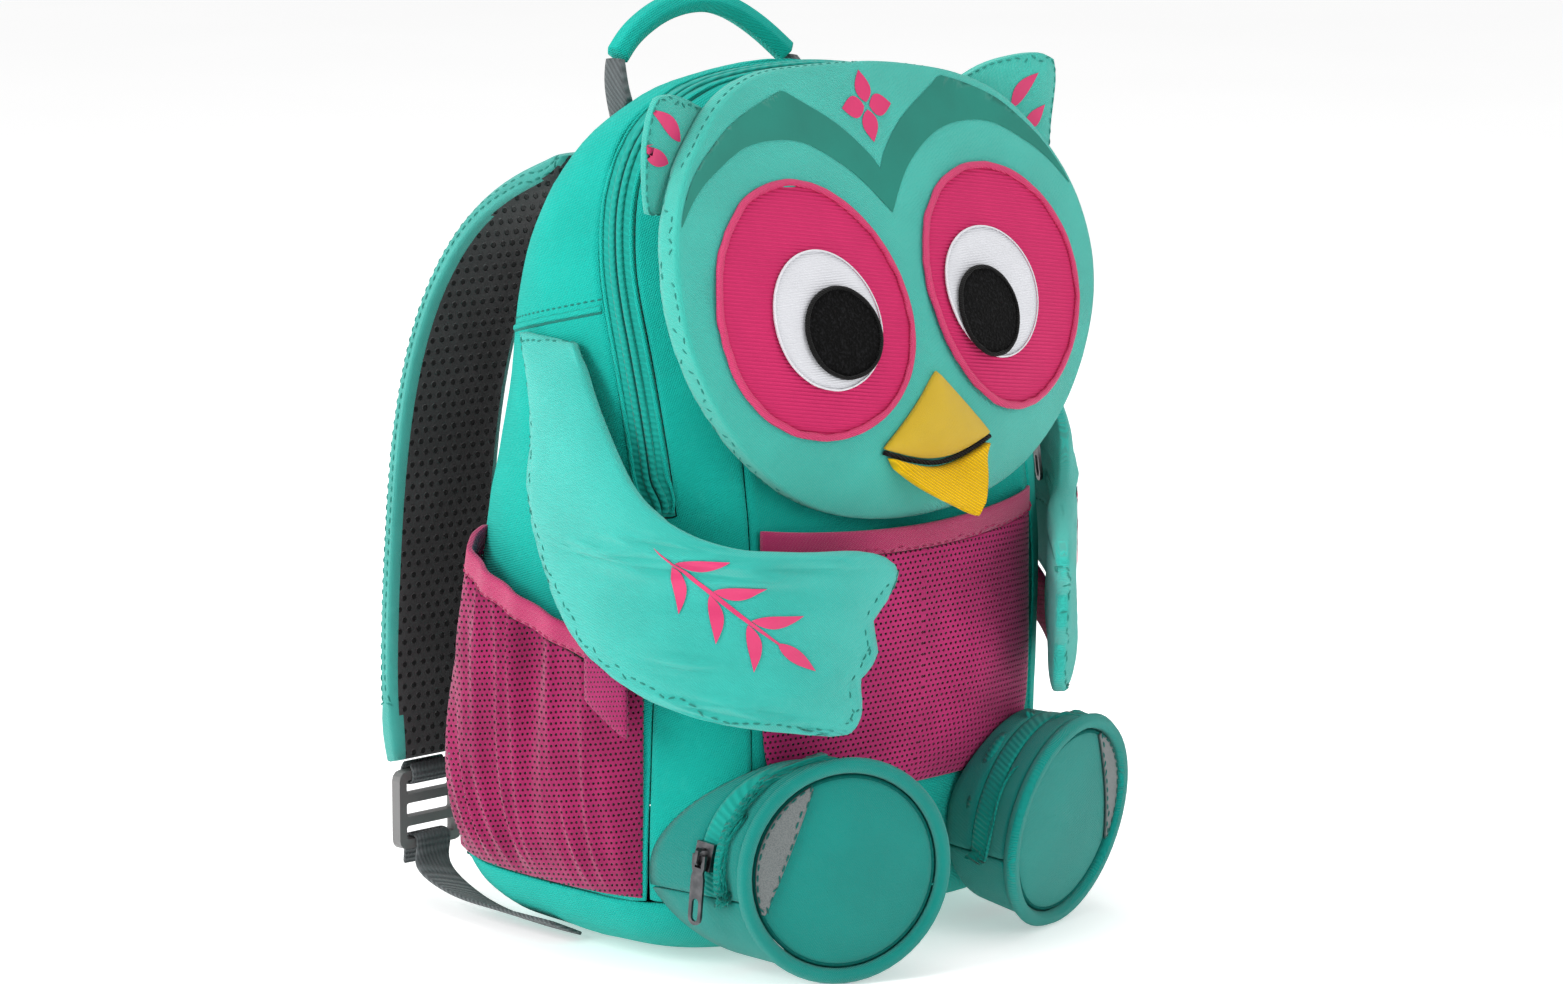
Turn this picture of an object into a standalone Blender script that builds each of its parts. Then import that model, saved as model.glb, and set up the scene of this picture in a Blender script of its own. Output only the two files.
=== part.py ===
"""Kids backpack in the shape of an owl, built piece by piece as it is sewn.

Metres, +Z up. The owl looks along -Y and stands on Z = 0, with the origin on the floor
under the middle of the bag. "Left" is the -X side.
"""
from collections import namedtuple
from math import cos, pi, radians, sin, sqrt

import bmesh
import bpy
from mathutils import Matrix, Vector

# Bag body
BAG_HEIGHT = 0.288
BAG_WIDTH = 0.190
BAG_DEPTH = 0.110
CLOTH = 0.0018
SEAM_GAP = 0.0003
CORNER = 0.028
PANEL_CROWN = 0.0045
BACK_PAD = 0.004
ARCH_SPRING = 0.70
ARCH_POWER = 2.8
BASE_RISE = 0.024
BASE_ROUND = 0.036

# Main zip
ZIP_TAPE = 0.012
ZIP_LOW_END = 0.150
SLIDER_LENGTH = 0.009
SLIDER_WIDTH = 0.007
SLIDER_THICK = 0.0026

# Pockets
POCKET_CLOTH = 0.0012
FRONT_POCKET_WIDTH = 0.126
FRONT_POCKET_LOW = 0.054
FRONT_POCKET_TOP = 0.1375
FRONT_POCKET_CORNER = 0.022
FRONT_POCKET_EASE = 0.0078
BAND_HEIGHT = 0.008
BAND_THICK = 0.0016
BAND_SAG = 0.0040
SIDE_POCKET_LOW = 0.0010
SIDE_POCKET_INSET = 0.015
SIDE_POCKET_FRONT_TOP = 0.098
SIDE_POCKET_REAR_TOP = 0.128
SIDE_POCKET_EASE = 0.011
SIDE_MOUTH_EASE = 0.0078
GATHER_COUNT = 6
GATHER_DEPTH = 0.0013

# Face
FACE_WIDTH = 0.194
FACE_LOW = 0.1430
FACE_TOP = 0.2905
FACE_RIM = 0.005
FACE_BULGE = 0.0165
FACE_CURL = 0.004
EYE_X = 0.0450
EYE_Z = 0.2155
EYE_WIDTH = 0.084
EYE_HEIGHT = 0.088
WHITE_X = 0.0378
WHITE_Z = 0.2125
WHITE_SIZE = 0.048
PUPIL_X = 0.0338
PUPIL_Z = 0.2085
PUPIL_SIZE = 0.031
PATCH_SEAT = 0.0006
PATCH_THICK = 0.0010

# Ears
EAR_THICK = 0.0060
EAR_FORWARD = 0.005
EAR_HIDDEN = 0.35
EAR_EDGE = 0.0018

# Beak
BEAK_WIDTH = 0.050
BEAK_TOP = 0.193
BEAK_CORNER_Z = 0.170
MOUTH_Z = 0.164
BEAK_PAD = 0.0035
TONGUE_THICK = 0.0035
TONGUE_REACH = 0.0150
TONGUE_DROP = 0.0140
TONGUE_TIP = 0.0020
PIPING_DIAMETER = 0.0018

# Wings
WING_THICK = 0.0085
WING_EDGE = 0.0030
WING_CLEAR = 0.0008
TAB_SIZE = 0.019
TAB_THICK = 0.0015
TAB_REACH = 0.052
TAB_TOP = 0.1100
TAB_SLANT = 0.55
TAB_SET_IN = 0.0018

# Feet
FOOT_RADIUS = 0.0375
FOOT_X = 0.053
FOOT_AHEAD = 0.035
FOOT_Y = -(BAG_DEPTH / 2 + FOOT_AHEAD)
HEEL_X = 0.055
HEEL_RADIUS = 0.0335
FOOT_PIPING = 0.0054
DISC_CROWN = 0.0030
REFLECTOR_THICK = 0.0008
FOOT_ZIP_START = 0.0085
FOOT_ZIP_END = 0.0165
FOOT_SET_BACK = 0.0020
HEEL_EASE = 0.006
HEEL_CLEAR = 0.0008
PATCH_ANGLES = (radians(-25), radians(70))
SOLE_ANGLE = radians(-14.0)
SLIDER_ANGLE = radians(9.0)
PULLER_LENGTH = 0.023
PULLER_WIDTH = 0.0052
PULLER_THICK = 0.0010
PULLER_ARM = 0.0013
PULLER_SLOT = 0.0050
BRIDGE_LENGTH = 0.0056
BRIDGE_HEIGHT = 0.0038
BRIDGE_THICK = 0.0009
BAR_RISE = 0.0018
MAIN_SLIDER_RISE = 0.014

# Straps and handle
STRAP_THICK = 0.0085
WEBBING_THICK = 0.0013
WEBBING_WIDTH = 0.015
LOOP_WIDTH = 0.018
LOOP_GAP = 0.0006
TAIL_LENGTH = 0.008
LOCK_WIDTH = 0.028
LOCK_HEIGHT = 0.027
LOCK_THICK = 0.0040
LOCK_BAR = 0.0032
LOCK_DROP = 0.0040
HANDLE_DIAMETER = 0.0085
HANDLE_FOOT = 0.043
HANDLE_SEAM = (0.83, 0.91)
HANDLE_LIFT = 0.0016
HANDLE_FLARE = 0.0015
HANDLE_END_THICK = 0.0026

# Colours, linear light
TEAL = (0.030, 0.480, 0.385)
FACE_TEAL = (0.050, 0.540, 0.440)
DEEP_TEAL = (0.006, 0.330, 0.265)
PINK = (0.590, 0.030, 0.130)
MAGENTA = (0.430, 0.018, 0.130)
WHITE = (0.800, 0.800, 0.830)
BLACK = (0.006, 0.006, 0.007)
YELLOW = (0.720, 0.480, 0.020)
DARK_GREY = (0.030, 0.029, 0.030)
MID_GREY = (0.100, 0.100, 0.100)
SILVER_GREY = (0.170, 0.175, 0.175)
GUNMETAL = (0.150, 0.140, 0.135)

# Levels of the bag, as shares of its height, half-width and depth. Front and rear are the
# seams of the front and back panels, rear_round the width of the rear corner as a share of
# CORNER, and zip the place of the main zip across the gusset.
Level = namedtuple("Level", "height width front rear rear_round zip")
LEVELS = (
    Level(0.07, 0.970, -0.530, 0.595, 0.55, 0.19),
    Level(0.21, 0.995, -0.555, 0.575, 0.55, 0.19),
    Level(0.35, 1.000, -0.555, 0.520, 0.58, 0.18),
    Level(0.49, 0.995, -0.550, 0.455, 0.62, 0.18),
    Level(0.70, 0.975, -0.460, 0.385, 0.80, 0.23),
    Level(0.88, 0.975, -0.385, 0.320, 0.95, 0.32),
    Level(1.00, 0.975, -0.340, 0.250, 1.05, 0.42),
)

# Section of the gusset from the front seam to the rear seam: how far each corner pulls in
Section = namedtuple("Section", "across pull")
GUSSET = (
    Section(0.00, 1.00), Section(0.03, 0.78), Section(0.07, 0.60), Section(0.12, 0.40),
    Section(0.19, 0.20), Section(0.28, 0.06), Section(0.40, 0.00), Section(0.58, 0.00),
    Section(0.72, 0.10), Section(0.84, 0.32), Section(0.93, 0.66), Section(1.00, 1.00),
)

# Rounded edge of the base: height as a share of BASE_RISE, pull as a share of BASE_ROUND
Edge = namedtuple("Edge", "height pull")
BASE_EDGE = (Edge(1.0, 0.0), Edge(0.70, 0.06), Edge(0.45, 0.19), Edge(0.26, 0.38),
             Edge(0.11, 0.62), Edge(0.03, 0.84), Edge(0.0, 1.0))

# Face outline from the crown of the head to the chin, as shares of its height and half-width
Outline = namedtuple("Outline", "height width")
FACE = (
    Outline(1.000, 0.00), Outline(0.992, 0.18), Outline(0.972, 0.36), Outline(0.944, 0.51),
    Outline(0.905, 0.65), Outline(0.855, 0.76), Outline(0.795, 0.86), Outline(0.722, 0.935),
    Outline(0.640, 0.98), Outline(0.535, 1.00), Outline(0.440, 0.98), Outline(0.360, 0.935),
    Outline(0.285, 0.875), Outline(0.205, 0.785), Outline(0.135, 0.67), Outline(0.070, 0.525),
    Outline(0.020, 0.30), Outline(0.000, 0.00),
)

# Fullness of the face at each height, as a share of FACE_BULGE
Fullness = namedtuple("Fullness", "height swell")
FACE_FILL = (
    Fullness(0.00, 0.00), Fullness(0.03, 0.28), Fullness(0.08, 0.55), Fullness(0.18, 0.88),
    Fullness(0.30, 1.00), Fullness(0.42, 0.90), Fullness(0.55, 0.66), Fullness(0.68, 0.42),
    Fullness(0.80, 0.26), Fullness(0.92, 0.12), Fullness(1.00, 0.00),
)

# Ear outline on the face's own shares of half-width and height, round from the crown to the
# low end; the last three points are hidden behind the face.
Point = namedtuple("Point", "width height")
EAR = (
    Point(0.500, 0.945), Point(0.640, 0.985), Point(0.780, 1.000), Point(0.900, 1.005),
    Point(0.965, 0.985), Point(0.985, 0.940), Point(0.965, 0.850), Point(0.925, 0.735),
    Point(0.820, 0.745), Point(0.740, 0.790), Point(0.660, 0.845),
)

# Wing, from its root in the side seam down to its lower edge. Height above the floor, reach
# of its rear and front edges along the wing and how far it tucks in to the bag, in metres.
Feather = namedtuple("Feather", "height rear front tuck")
WING = (
    Feather(0.2050, 0.0040, 0.0380, 0.0095), Feather(0.1960, 0.0100, 0.0460, 0.0080),
    Feather(0.1850, 0.0160, 0.0540, 0.0060), Feather(0.1690, 0.0226, 0.0690, 0.0020),
    Feather(0.1590, 0.0240, 0.0780, 0.0), Feather(0.1520, 0.0255, 0.0890, 0.0),
    Feather(0.1475, 0.0270, 0.0990, 0.0), Feather(0.1440, 0.0285, 0.1120, 0.0),
    Feather(0.1415, 0.0300, 0.1310, 0.0), Feather(0.1390, 0.0315, 0.1600, 0.0),
    Feather(0.1345, 0.0330, 0.1720, 0.0), Feather(0.1300, 0.0355, 0.1765, 0.0),
    Feather(0.1250, 0.0390, 0.1740, 0.0), Feather(0.1210, 0.0420, 0.1665, 0.0),
    Feather(0.1170, 0.0455, 0.1615, 0.0), Feather(0.1110, 0.0515, 0.1630, 0.0),
    Feather(0.1065, 0.0585, 0.1640, 0.0), Feather(0.1025, 0.0660, 0.1605, 0.0),
    Feather(0.0995, 0.0720, 0.1545, 0.0), Feather(0.0950, 0.0820, 0.1535, 0.0),
    Feather(0.0890, 0.1010, 0.1555, 0.0), Feather(0.0845, 0.1280, 0.1530, 0.0),
    Feather(0.0825, 0.1430, 0.1500, 0.0),
)

# Plan of each wing round the bag from its root, out to the side and forward, in metres
Turn = namedtuple("Turn", "out forward")
WING_HUGGING = (
    Turn(0.095, -0.026), Turn(0.101, -0.010), Turn(0.106, 0.012), Turn(0.107, 0.038),
    Turn(0.099, 0.064), Turn(0.080, 0.082), Turn(0.055, 0.088), Turn(0.030, 0.086),
    Turn(0.012, 0.082),
)
WING_REACHING = (
    Turn(0.095, -0.026), Turn(0.104, -0.012), Turn(0.111, 0.005), Turn(0.112, 0.025),
    Turn(0.103, 0.042), Turn(0.088, 0.0555), Turn(0.072, 0.070), Turn(0.056, 0.084),
    Turn(0.042, 0.097), Turn(0.030, 0.108),
)

# How each foot is turned: out from straight ahead, and tipped forward
Foot = namedtuple("Foot", "side name splay lean")
FEET = (Foot(-1, "left", radians(23), 0.0), Foot(1, "right", radians(12), radians(10)))

# Shoulder strap from the top seam to the buckle: place of its middle out from the centre
# line, away from the back and up, its width and how far its inner edge stands behind
Strap = namedtuple("Strap", "out away height width twist")
STRAP = (
    Strap(0.036, -0.0031, 0.2580, 0.040, 0.0), Strap(0.0365, 0.0002, 0.2530, 0.041, 0.0),
    Strap(0.039, 0.0120, 0.2480, 0.045, 0.001), Strap(0.042, 0.0265, 0.2370, 0.047, 0.002),
    Strap(0.045, 0.0370, 0.2200, 0.049, 0.003), Strap(0.049, 0.0435, 0.1960, 0.050, 0.004),
    Strap(0.052, 0.0455, 0.1640, 0.050, 0.004), Strap(0.055, 0.0415, 0.1290, 0.050, 0.004),
    Strap(0.058, 0.0345, 0.0950, 0.049, 0.003), Strap(0.064, 0.0265, 0.0690, 0.044, 0.002),
    Strap(0.070, 0.0200, 0.0500, 0.032, 0.000),
)

# Lower webbing from under the base to the buckle: out, back, height of its middle and tilt
Run = namedtuple("Run", "out back height tilt")
WEBBING = (
    Run(0.0795, 0.0120, 0.0051, 0.43), Run(0.0795, 0.0300, 0.0051, 0.43),
    Run(0.0790, 0.0460, 0.0054, 0.38), Run(0.0780, 0.0600, 0.0062, 0.28),
    Run(0.0765, 0.0740, 0.0090, 0.16), Run(0.0750, 0.0860, 0.0135, 0.05),
)

# Top handle, its grip from the left end to the right end, each point above the bag's top
Grip = namedtuple("Grip", "side back rise")
HANDLE = (
    Grip(-0.0380, 0.030, 0.0025), Grip(-0.0300, 0.031, 0.0095), Grip(-0.0160, 0.032, 0.0160),
    Grip(0.0000, 0.033, 0.0182), Grip(0.0150, 0.033, 0.0155), Grip(0.0290, 0.032, 0.0080),
    Grip(0.0400, 0.030, -0.0010),
)


def along(rows, field, place):
    """Value of one column at a place in the first column, on a smooth curve through the rows."""
    keys = [row[0] for row in rows]
    values = [getattr(row, field) for row in rows]
    if keys[0] > keys[-1]:
        keys.reverse()
        values.reverse()
    place = min(max(place, keys[0]), keys[-1])
    last = len(keys) - 2
    i = max(k for k in range(last + 1) if keys[k] <= place)
    step = keys[i + 1] - keys[i]
    share = (place - keys[i]) / step

    def slope(k):
        low, high = max(k - 1, 0), min(k + 1, last + 1)
        return (values[high] - values[low]) / (keys[high] - keys[low]) * step

    s2, s3 = share ** 2, share ** 3
    return ((2 * s3 - 3 * s2 + 1) * values[i] + (s3 - 2 * s2 + share) * slope(i)
            + (3 * s2 - 2 * s3) * values[i + 1] + (s3 - s2) * slope(i + 1))


def spread(start, end, count):
    """Evenly spaced values, both ends included."""
    return [start + (end - start) * i / (count - 1) for i in range(count)]


def mix(a, b, share):
    return a + (b - a) * share


# Shape of the bag
SPRING = ARCH_SPRING * BAG_HEIGHT
ARCH_PART = 0.55


def half_width(z):
    return BAG_WIDTH / 2 * along(LEVELS, "width", z / BAG_HEIGHT)


def front_seam(z):
    return BAG_DEPTH * along(LEVELS, "front", z / BAG_HEIGHT)


def rear_seam(z):
    return BAG_DEPTH * along(LEVELS, "rear", z / BAG_HEIGHT)


def depth(z):
    return rear_seam(z) - front_seam(z)


def outline(u, inset):
    """Front outline of the bag, x and z: u is -1 low on the left, 0 at the top, 1 low right."""
    side = -1 if u < 0 else 1
    if abs(u) >= ARCH_PART:
        drop = (abs(u) - ARCH_PART) / (1 - ARCH_PART)
        z = SPRING - drop * (SPRING - BASE_RISE)
        return side * (half_width(z) - inset), z
    angle = (1 - abs(u) / ARCH_PART) * pi / 2
    reach = half_width(SPRING) - inset
    rise = BAG_HEIGHT - SPRING - inset
    power = 2 / ARCH_POWER
    return side * reach * cos(angle) ** power, SPRING + rise * sin(angle) ** power


def outline_half(z, inset):
    """Half-width of that outline at a height."""
    if z <= SPRING:
        return half_width(z) - inset
    share = min((z - SPRING) / (BAG_HEIGHT - SPRING - inset), 1)
    return (half_width(SPRING) - inset) * (1 - share ** ARCH_POWER) ** (1 / ARCH_POWER)


def side_place(z):
    """The u of a height on the straight side."""
    return ARCH_PART + (1 - ARCH_PART) * (SPRING - z) / (SPRING - BASE_RISE)


def corner_pull(across, z):
    """How far the gusset pulls in from its widest line."""
    pull = CORNER * along(GUSSET, "pull", across)
    if across > 0.5:
        pull *= along(LEVELS, "rear_round", z / BAG_HEIGHT)
    return pull


def gusset_point(u, across, deep):
    """Point in the gusset's wall, deep metres under its outer face."""
    x, z = outline(u, corner_pull(across, outline(u, 0)[1]) + deep)
    front = front_seam(z) + deep
    rear = rear_seam(z) - deep
    return Vector((x, mix(front, rear, across), z))


def side_point(side, across, z, out):
    """Point out from the gusset's straight side at a height."""
    x = side * (half_width(z) - corner_pull(across, z) + out)
    return Vector((x, mix(front_seam(z) - out, rear_seam(z) + out, across), z))


def panel_front(x, z):
    """Outer face of the front panel, which is crowned between its seams."""
    half = max(outline_half(z, CORNER), SEAM_GAP)
    across = min(abs(x) / half, 1)
    top = BAG_HEIGHT - CORNER
    fade = 1 - min(max((z - SPRING) / (top - SPRING), 0), 1) ** 2
    return front_seam(z) - PANEL_CROWN * (1 - across ** 2) * fade


def bag_front(x, z):
    """Outer face of the bag seen from the front, panel or gusset."""
    z = max(z, BASE_RISE)
    pull = outline_half(z, 0) - abs(x)
    if pull >= CORNER:
        return panel_front(x, z)
    low, high = 0.0, GUSSET[6].across
    for _ in range(30):
        middle = (low + high) / 2
        if corner_pull(middle, z) > pull:
            low = middle
        else:
            high = middle
    return mix(front_seam(z), rear_seam(z), low)


# Building tools
def clear_scene():
    for item in list(bpy.data.objects):
        bpy.data.objects.remove(item)


def make_collection(name):
    group = bpy.data.collections.new(name)
    bpy.context.scene.collection.children.link(group)
    return group


MATERIALS = {}


def material(name, colour, roughness, metallic=0.0):
    """One Principled material for each name."""
    if name not in MATERIALS:
        finish = bpy.data.materials.new(name)
        finish.use_nodes = True
        shader = finish.node_tree.nodes["Principled BSDF"]
        shader.inputs["Base Color"].default_value = (*colour, 1)
        shader.inputs["Roughness"].default_value = roughness
        shader.inputs["Metallic"].default_value = metallic
        MATERIALS[name] = finish
    return MATERIALS[name]


def add_object(name, mesh, group, finish):
    """Puts a mesh in the scene as one named sub-part with its faces pointing out."""
    shape = bmesh.new()
    shape.from_mesh(mesh)
    bmesh.ops.recalc_face_normals(shape, faces=shape.faces)
    shape.to_mesh(mesh)
    shape.free()
    piece = bpy.data.objects.new(name, mesh)
    piece.data.materials.append(finish)
    mesh.shade_smooth()
    mesh.set_sharp_from_angle(angle=radians(40))
    group.objects.link(piece)
    return piece


def walled(name, outer, inner, group, finish, wrap=False, pole=None):
    """Closed sheet between two matching grids of points, outer and inner.

    wrap joins each row end to end, and pole closes the last row on a pair of points.
    """
    shape = bmesh.new()
    faces = [[[shape.verts.new(point) for point in row] for row in grid]
             for grid in (outer, inner)]
    rows, columns = len(outer), len(outer[0])
    turns = columns if wrap else columns - 1
    for grid in faces:
        for r in range(rows - 1):
            for c in range(turns):
                d = (c + 1) % columns
                shape.faces.new((grid[r][c], grid[r][d], grid[r + 1][d], grid[r + 1][c]))
    top, under = faces
    edges = [0] if pole else [0, rows - 1]
    for r in edges:
        for c in range(turns):
            d = (c + 1) % columns
            shape.faces.new((top[r][c], top[r][d], under[r][d], under[r][c]))
    if not wrap:
        for c in (0, columns - 1):
            for r in range(rows - 1):
                shape.faces.new((top[r][c], top[r + 1][c], under[r + 1][c], under[r][c]))
    if pole:
        for grid, point in zip(faces, pole):
            tip = shape.verts.new(point)
            for c in range(turns):
                shape.faces.new((grid[-1][c], grid[-1][(c + 1) % columns], tip))
    mesh = bpy.data.meshes.new(name)
    shape.to_mesh(mesh)
    shape.free()
    return add_object(name, mesh, group, finish)


def cushion(name, rim, centre, rings, front, rear, group, finish):
    """Pad between two faces, front(x, z, ring) and rear(x, z, ring), inside a rim of x, z points."""
    def lay(face, ring):
        points = []
        for x, z in rim:
            px, pz = mix(centre[0], x, ring), mix(centre[1], z, ring)
            points.append(Vector((px, face(px, pz, ring), pz)))
        return points

    outer = [lay(front, ring) for ring in rings]
    inner = [lay(rear, ring) for ring in rings]
    x, z = centre
    pole = (Vector((x, front(x, z, 0), z)), Vector((x, rear(x, z, 0), z)))
    return walled(name, outer, inner, group, finish, wrap=True, pole=pole)


def tube(name, points, diameter, group, finish, sides=2):
    """Round bar along points, as a mesh with closed ends."""
    curve = bpy.data.curves.new(name, "CURVE")
    curve.dimensions = "3D"
    curve.bevel_depth = diameter / 2
    curve.bevel_resolution = sides
    curve.use_fill_caps = True
    spline = curve.splines.new("POLY")
    spline.points.add(len(points) - 1)
    for target, point in zip(spline.points, points):
        target.co = (*point, 1)
    return mesh_from_curve(name, curve, group, finish)


def flat_plate(name, loops, thickness, group, finish):
    """Plate of a 2D outline with holes, thickness along its own Z."""
    curve = bpy.data.curves.new(name, "CURVE")
    curve.dimensions = "2D"
    curve.fill_mode = "BOTH"
    curve.extrude = thickness / 2
    for loop in loops:
        spline = curve.splines.new("POLY")
        spline.points.add(len(loop) - 1)
        spline.use_cyclic_u = True
        for target, (x, y) in zip(spline.points, loop):
            target.co = (x, y, 0, 1)
    return mesh_from_curve(name, curve, group, finish)


def mesh_from_curve(name, curve, group, finish):
    """Turns a curve into a welded mesh object and removes the curve."""
    source = bpy.data.objects.new(name + "_curve", curve)
    bpy.context.scene.collection.objects.link(source)
    graph = bpy.context.evaluated_depsgraph_get()
    mesh = bpy.data.meshes.new_from_object(source.evaluated_get(graph))
    mesh.name = name
    bpy.data.objects.remove(source)
    shape = bmesh.new()
    shape.from_mesh(mesh)
    bmesh.ops.remove_doubles(shape, verts=shape.verts, dist=1e-6)
    shape.to_mesh(mesh)
    shape.free()
    return add_object(name, mesh, group, finish)


def box(name, size, group, finish):
    """Box of the given size round its own origin."""
    shape = bmesh.new()
    bmesh.ops.create_cube(shape, size=1)
    bmesh.ops.scale(shape, vec=size, verts=shape.verts)
    mesh = bpy.data.meshes.new(name)
    shape.to_mesh(mesh)
    shape.free()
    return add_object(name, mesh, group, finish)


def unite(target, tool):
    """Fuses a cutter-collection piece into the target with a Boolean, made real."""
    change = target.modifiers.new("joined", "BOOLEAN")
    change.operation = "UNION"
    change.object = tool
    graph = bpy.context.evaluated_depsgraph_get()
    mesh = bpy.data.meshes.new_from_object(target.evaluated_get(graph))
    target.modifiers.clear()
    target.data = mesh
    bpy.data.objects.remove(tool)


def superellipse(width, height, corner, steps=3):
    """Rounded rectangle as a list of x, y points."""
    points = []
    for k, (sx, sy) in enumerate(((1, 1), (-1, 1), (-1, -1), (1, -1))):
        cx, cy = sx * (width / 2 - corner), sy * (height / 2 - corner)
        for angle in spread(k * pi / 2, (k + 1) * pi / 2, steps):
            points.append((cx + corner * cos(angle), cy + corner * sin(angle)))
    return points


# Bag shell
def side_stations():
    """Heights up the straight side, with the lower end of the zip as a step."""
    low = [mix(BASE_RISE, ZIP_LOW_END, share) for share in (0.25, 0.55, 0.82)]
    return [BASE_RISE + SEAM_GAP / 2, *low, ZIP_LOW_END - SEAM_GAP, ZIP_LOW_END + SEAM_GAP,
            (ZIP_LOW_END + SPRING) / 2]


def arch_stations():
    """The u of each station over the arch, left to right."""
    half = [ARCH_PART * (1 - angle / 90) for angle in (0, 5, 14, 28, 45, 62, 76)]
    return [-u for u in half] + [0.0] + half[::-1]


def stations():
    """The u of every station, from low on the left over the top to low on the right."""
    sides = [side_place(z) for z in side_stations()]
    return [-u for u in sides] + arch_stations() + sides[::-1]


def zip_edges(u):
    """Front and rear edge of the zip across the gusset; under its end they meet in a seam."""
    z = outline(u, 0)[1]
    place = along(LEVELS, "zip", z / BAG_HEIGHT)
    half = ZIP_TAPE / 2 if z > ZIP_LOW_END else SEAM_GAP / 2
    return place - half / depth(z), place + half / depth(z)


def gusset_sheet(name, columns, places, group, finish):
    """Walled strip of the gusset; columns(u) gives its places across at each station."""
    outer = [[gusset_point(u, across, 0) for across in columns(u)] for u in places]
    inner = [[gusset_point(u, across, CLOTH) for across in columns(u)] for u in places]
    return walled(name, outer, inner, group, finish)


def make_gussets(group):
    """Front and rear strips of the gusset, with the main zip between them over the arch."""
    teal = material("body_cloth", TEAL, 0.75)

    def front_columns(u):
        return [zip_edges(u)[0] * share for share in (0, 0.17, 0.38, 0.65, 1)]

    def rear_columns(u):
        return [mix(zip_edges(u)[1], 1, share) for share in (0, 0.22, 0.46, 0.66, 0.80, 0.91, 1)]

    def zip_columns(u):
        gap = SEAM_GAP / depth(outline(u, 0)[1])
        front, rear = zip_edges(u)
        return [front + gap, (front + rear) / 2, rear - gap]

    gusset_sheet("gusset_front", front_columns, stations(), group, teal)
    gusset_sheet("gusset_rear", rear_columns, stations(), group, teal)
    sides = [side_place(ZIP_LOW_END + 2 * SEAM_GAP), side_place((ZIP_LOW_END + SPRING) / 2)]
    places = [-u for u in sides] + arch_stations() + sides[::-1]
    gusset_sheet("main_zip", zip_columns, places, group, material("zip_tape", DEEP_TEAL, 0.6))


def make_panel(name, across, rings, face, group, finish):
    """Panel that closes the gusset at across 0 or 1; face(x, z, ring, deep) gives its Y."""
    middle = BAG_HEIGHT * 0.45
    shrink = 1 - SEAM_GAP / (BAG_WIDTH / 2 - CORNER)

    def lay(deep, ring):
        edge = [gusset_point(u, across, deep) for u in stations()]
        edge += [edge[-1].lerp(edge[0], share) for share in BOTTOM_SHARES]
        points = [(point.x * ring * shrink, mix(middle, point.z, ring * shrink)) for point in edge]
        return [Vector((x, face(x, z, ring, deep), z)) for x, z in points]

    outer = [lay(0, ring) for ring in rings]
    inner = [lay(CLOTH, ring) for ring in rings]
    pole = [Vector((0, face(0, middle, 0, deep), middle)) for deep in (0, CLOTH)]
    walled(name, outer, inner, group, finish, wrap=True, pole=pole)


BOTTOM_SHARES = (0.2, 0.4, 0.6, 0.8)


def back_face(z, ring=0.0):
    """Outer face of the padded back panel; the pad rises just inside its seam, at ring 1."""
    return rear_seam(z) + BACK_PAD * min((1 - ring) / 0.05, 1)


def make_panels(group):
    def front(x, z, ring, deep):
        return panel_front(x, z) + deep

    def back(x, z, ring, deep):
        return rear_seam(z) - deep if deep else back_face(z, ring)

    make_panel("front_panel", 0, (1, 0.75, 0.45), front, group, material("body_cloth", TEAL, 0.75))
    make_panel("back_panel", 1, (1, 0.95, 0.70, 0.40), back, group,
               material("spacer_mesh", DARK_GREY, 0.9))


def make_base(group):
    """Shallow tray under the bag with a flat middle and a rounded edge."""
    shares = [row.across for row in GUSSET]
    middle = (front_seam(BASE_RISE) + rear_seam(BASE_RISE)) / 2
    half_depth = depth(BASE_RISE) / 2

    def edge(deep):
        right = [side_point(1, across, BASE_RISE, -deep) for across in shares]
        left = [side_point(-1, across, BASE_RISE, -deep) for across in reversed(shares)]
        back = [right[-1].lerp(left[0], share) for share in BOTTOM_SHARES]
        front = [left[-1].lerp(right[0], share) for share in BOTTOM_SHARES]
        for point in front:
            point.y = panel_front(point.x, BASE_RISE) + deep
        return right + back + left + front

    def lay(deep, row):
        pull = BASE_ROUND * row.pull
        z = BASE_RISE * row.height + deep
        if row.height == 1:
            z = BASE_RISE - SEAM_GAP / 2
        return [Vector((p.x * (1 - pull / half_width(BASE_RISE)),
                        middle + (p.y - middle) * (1 - pull / half_depth), z)) for p in edge(deep)]

    outer = [lay(0, row) for row in BASE_EDGE]
    inner = [lay(CLOTH, row) for row in BASE_EDGE]
    pole = (Vector((0, middle, 0)), Vector((0, middle, CLOTH)))
    walled("base_panel", outer, inner, group, material("body_cloth", TEAL, 0.75), wrap=True,
           pole=pole)


# Pockets
def front_pocket_half(z):
    """Half-width of the front pocket, with its lower corners rounded."""
    low = FRONT_POCKET_LOW + FRONT_POCKET_CORNER
    if z >= low:
        return FRONT_POCKET_WIDTH / 2
    drop = (low - z) / FRONT_POCKET_CORNER
    return FRONT_POCKET_WIDTH / 2 - FRONT_POCKET_CORNER * (1 - sqrt(max(1 - drop ** 2, 0)))


def front_pocket_face(x, z):
    """Outer face of the front pocket's mesh."""
    half = front_pocket_half(z)
    across = min(abs(x) / half, 1)
    up = min(max((z - FRONT_POCKET_LOW) / (FRONT_POCKET_TOP - FRONT_POCKET_LOW), 0), 1)
    ease = FRONT_POCKET_EASE * sqrt(1 - across ** 2) * min(up / 0.35, 1) ** 0.6
    return panel_front(x, z) - SEAM_GAP - POCKET_CLOTH - ease


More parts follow.
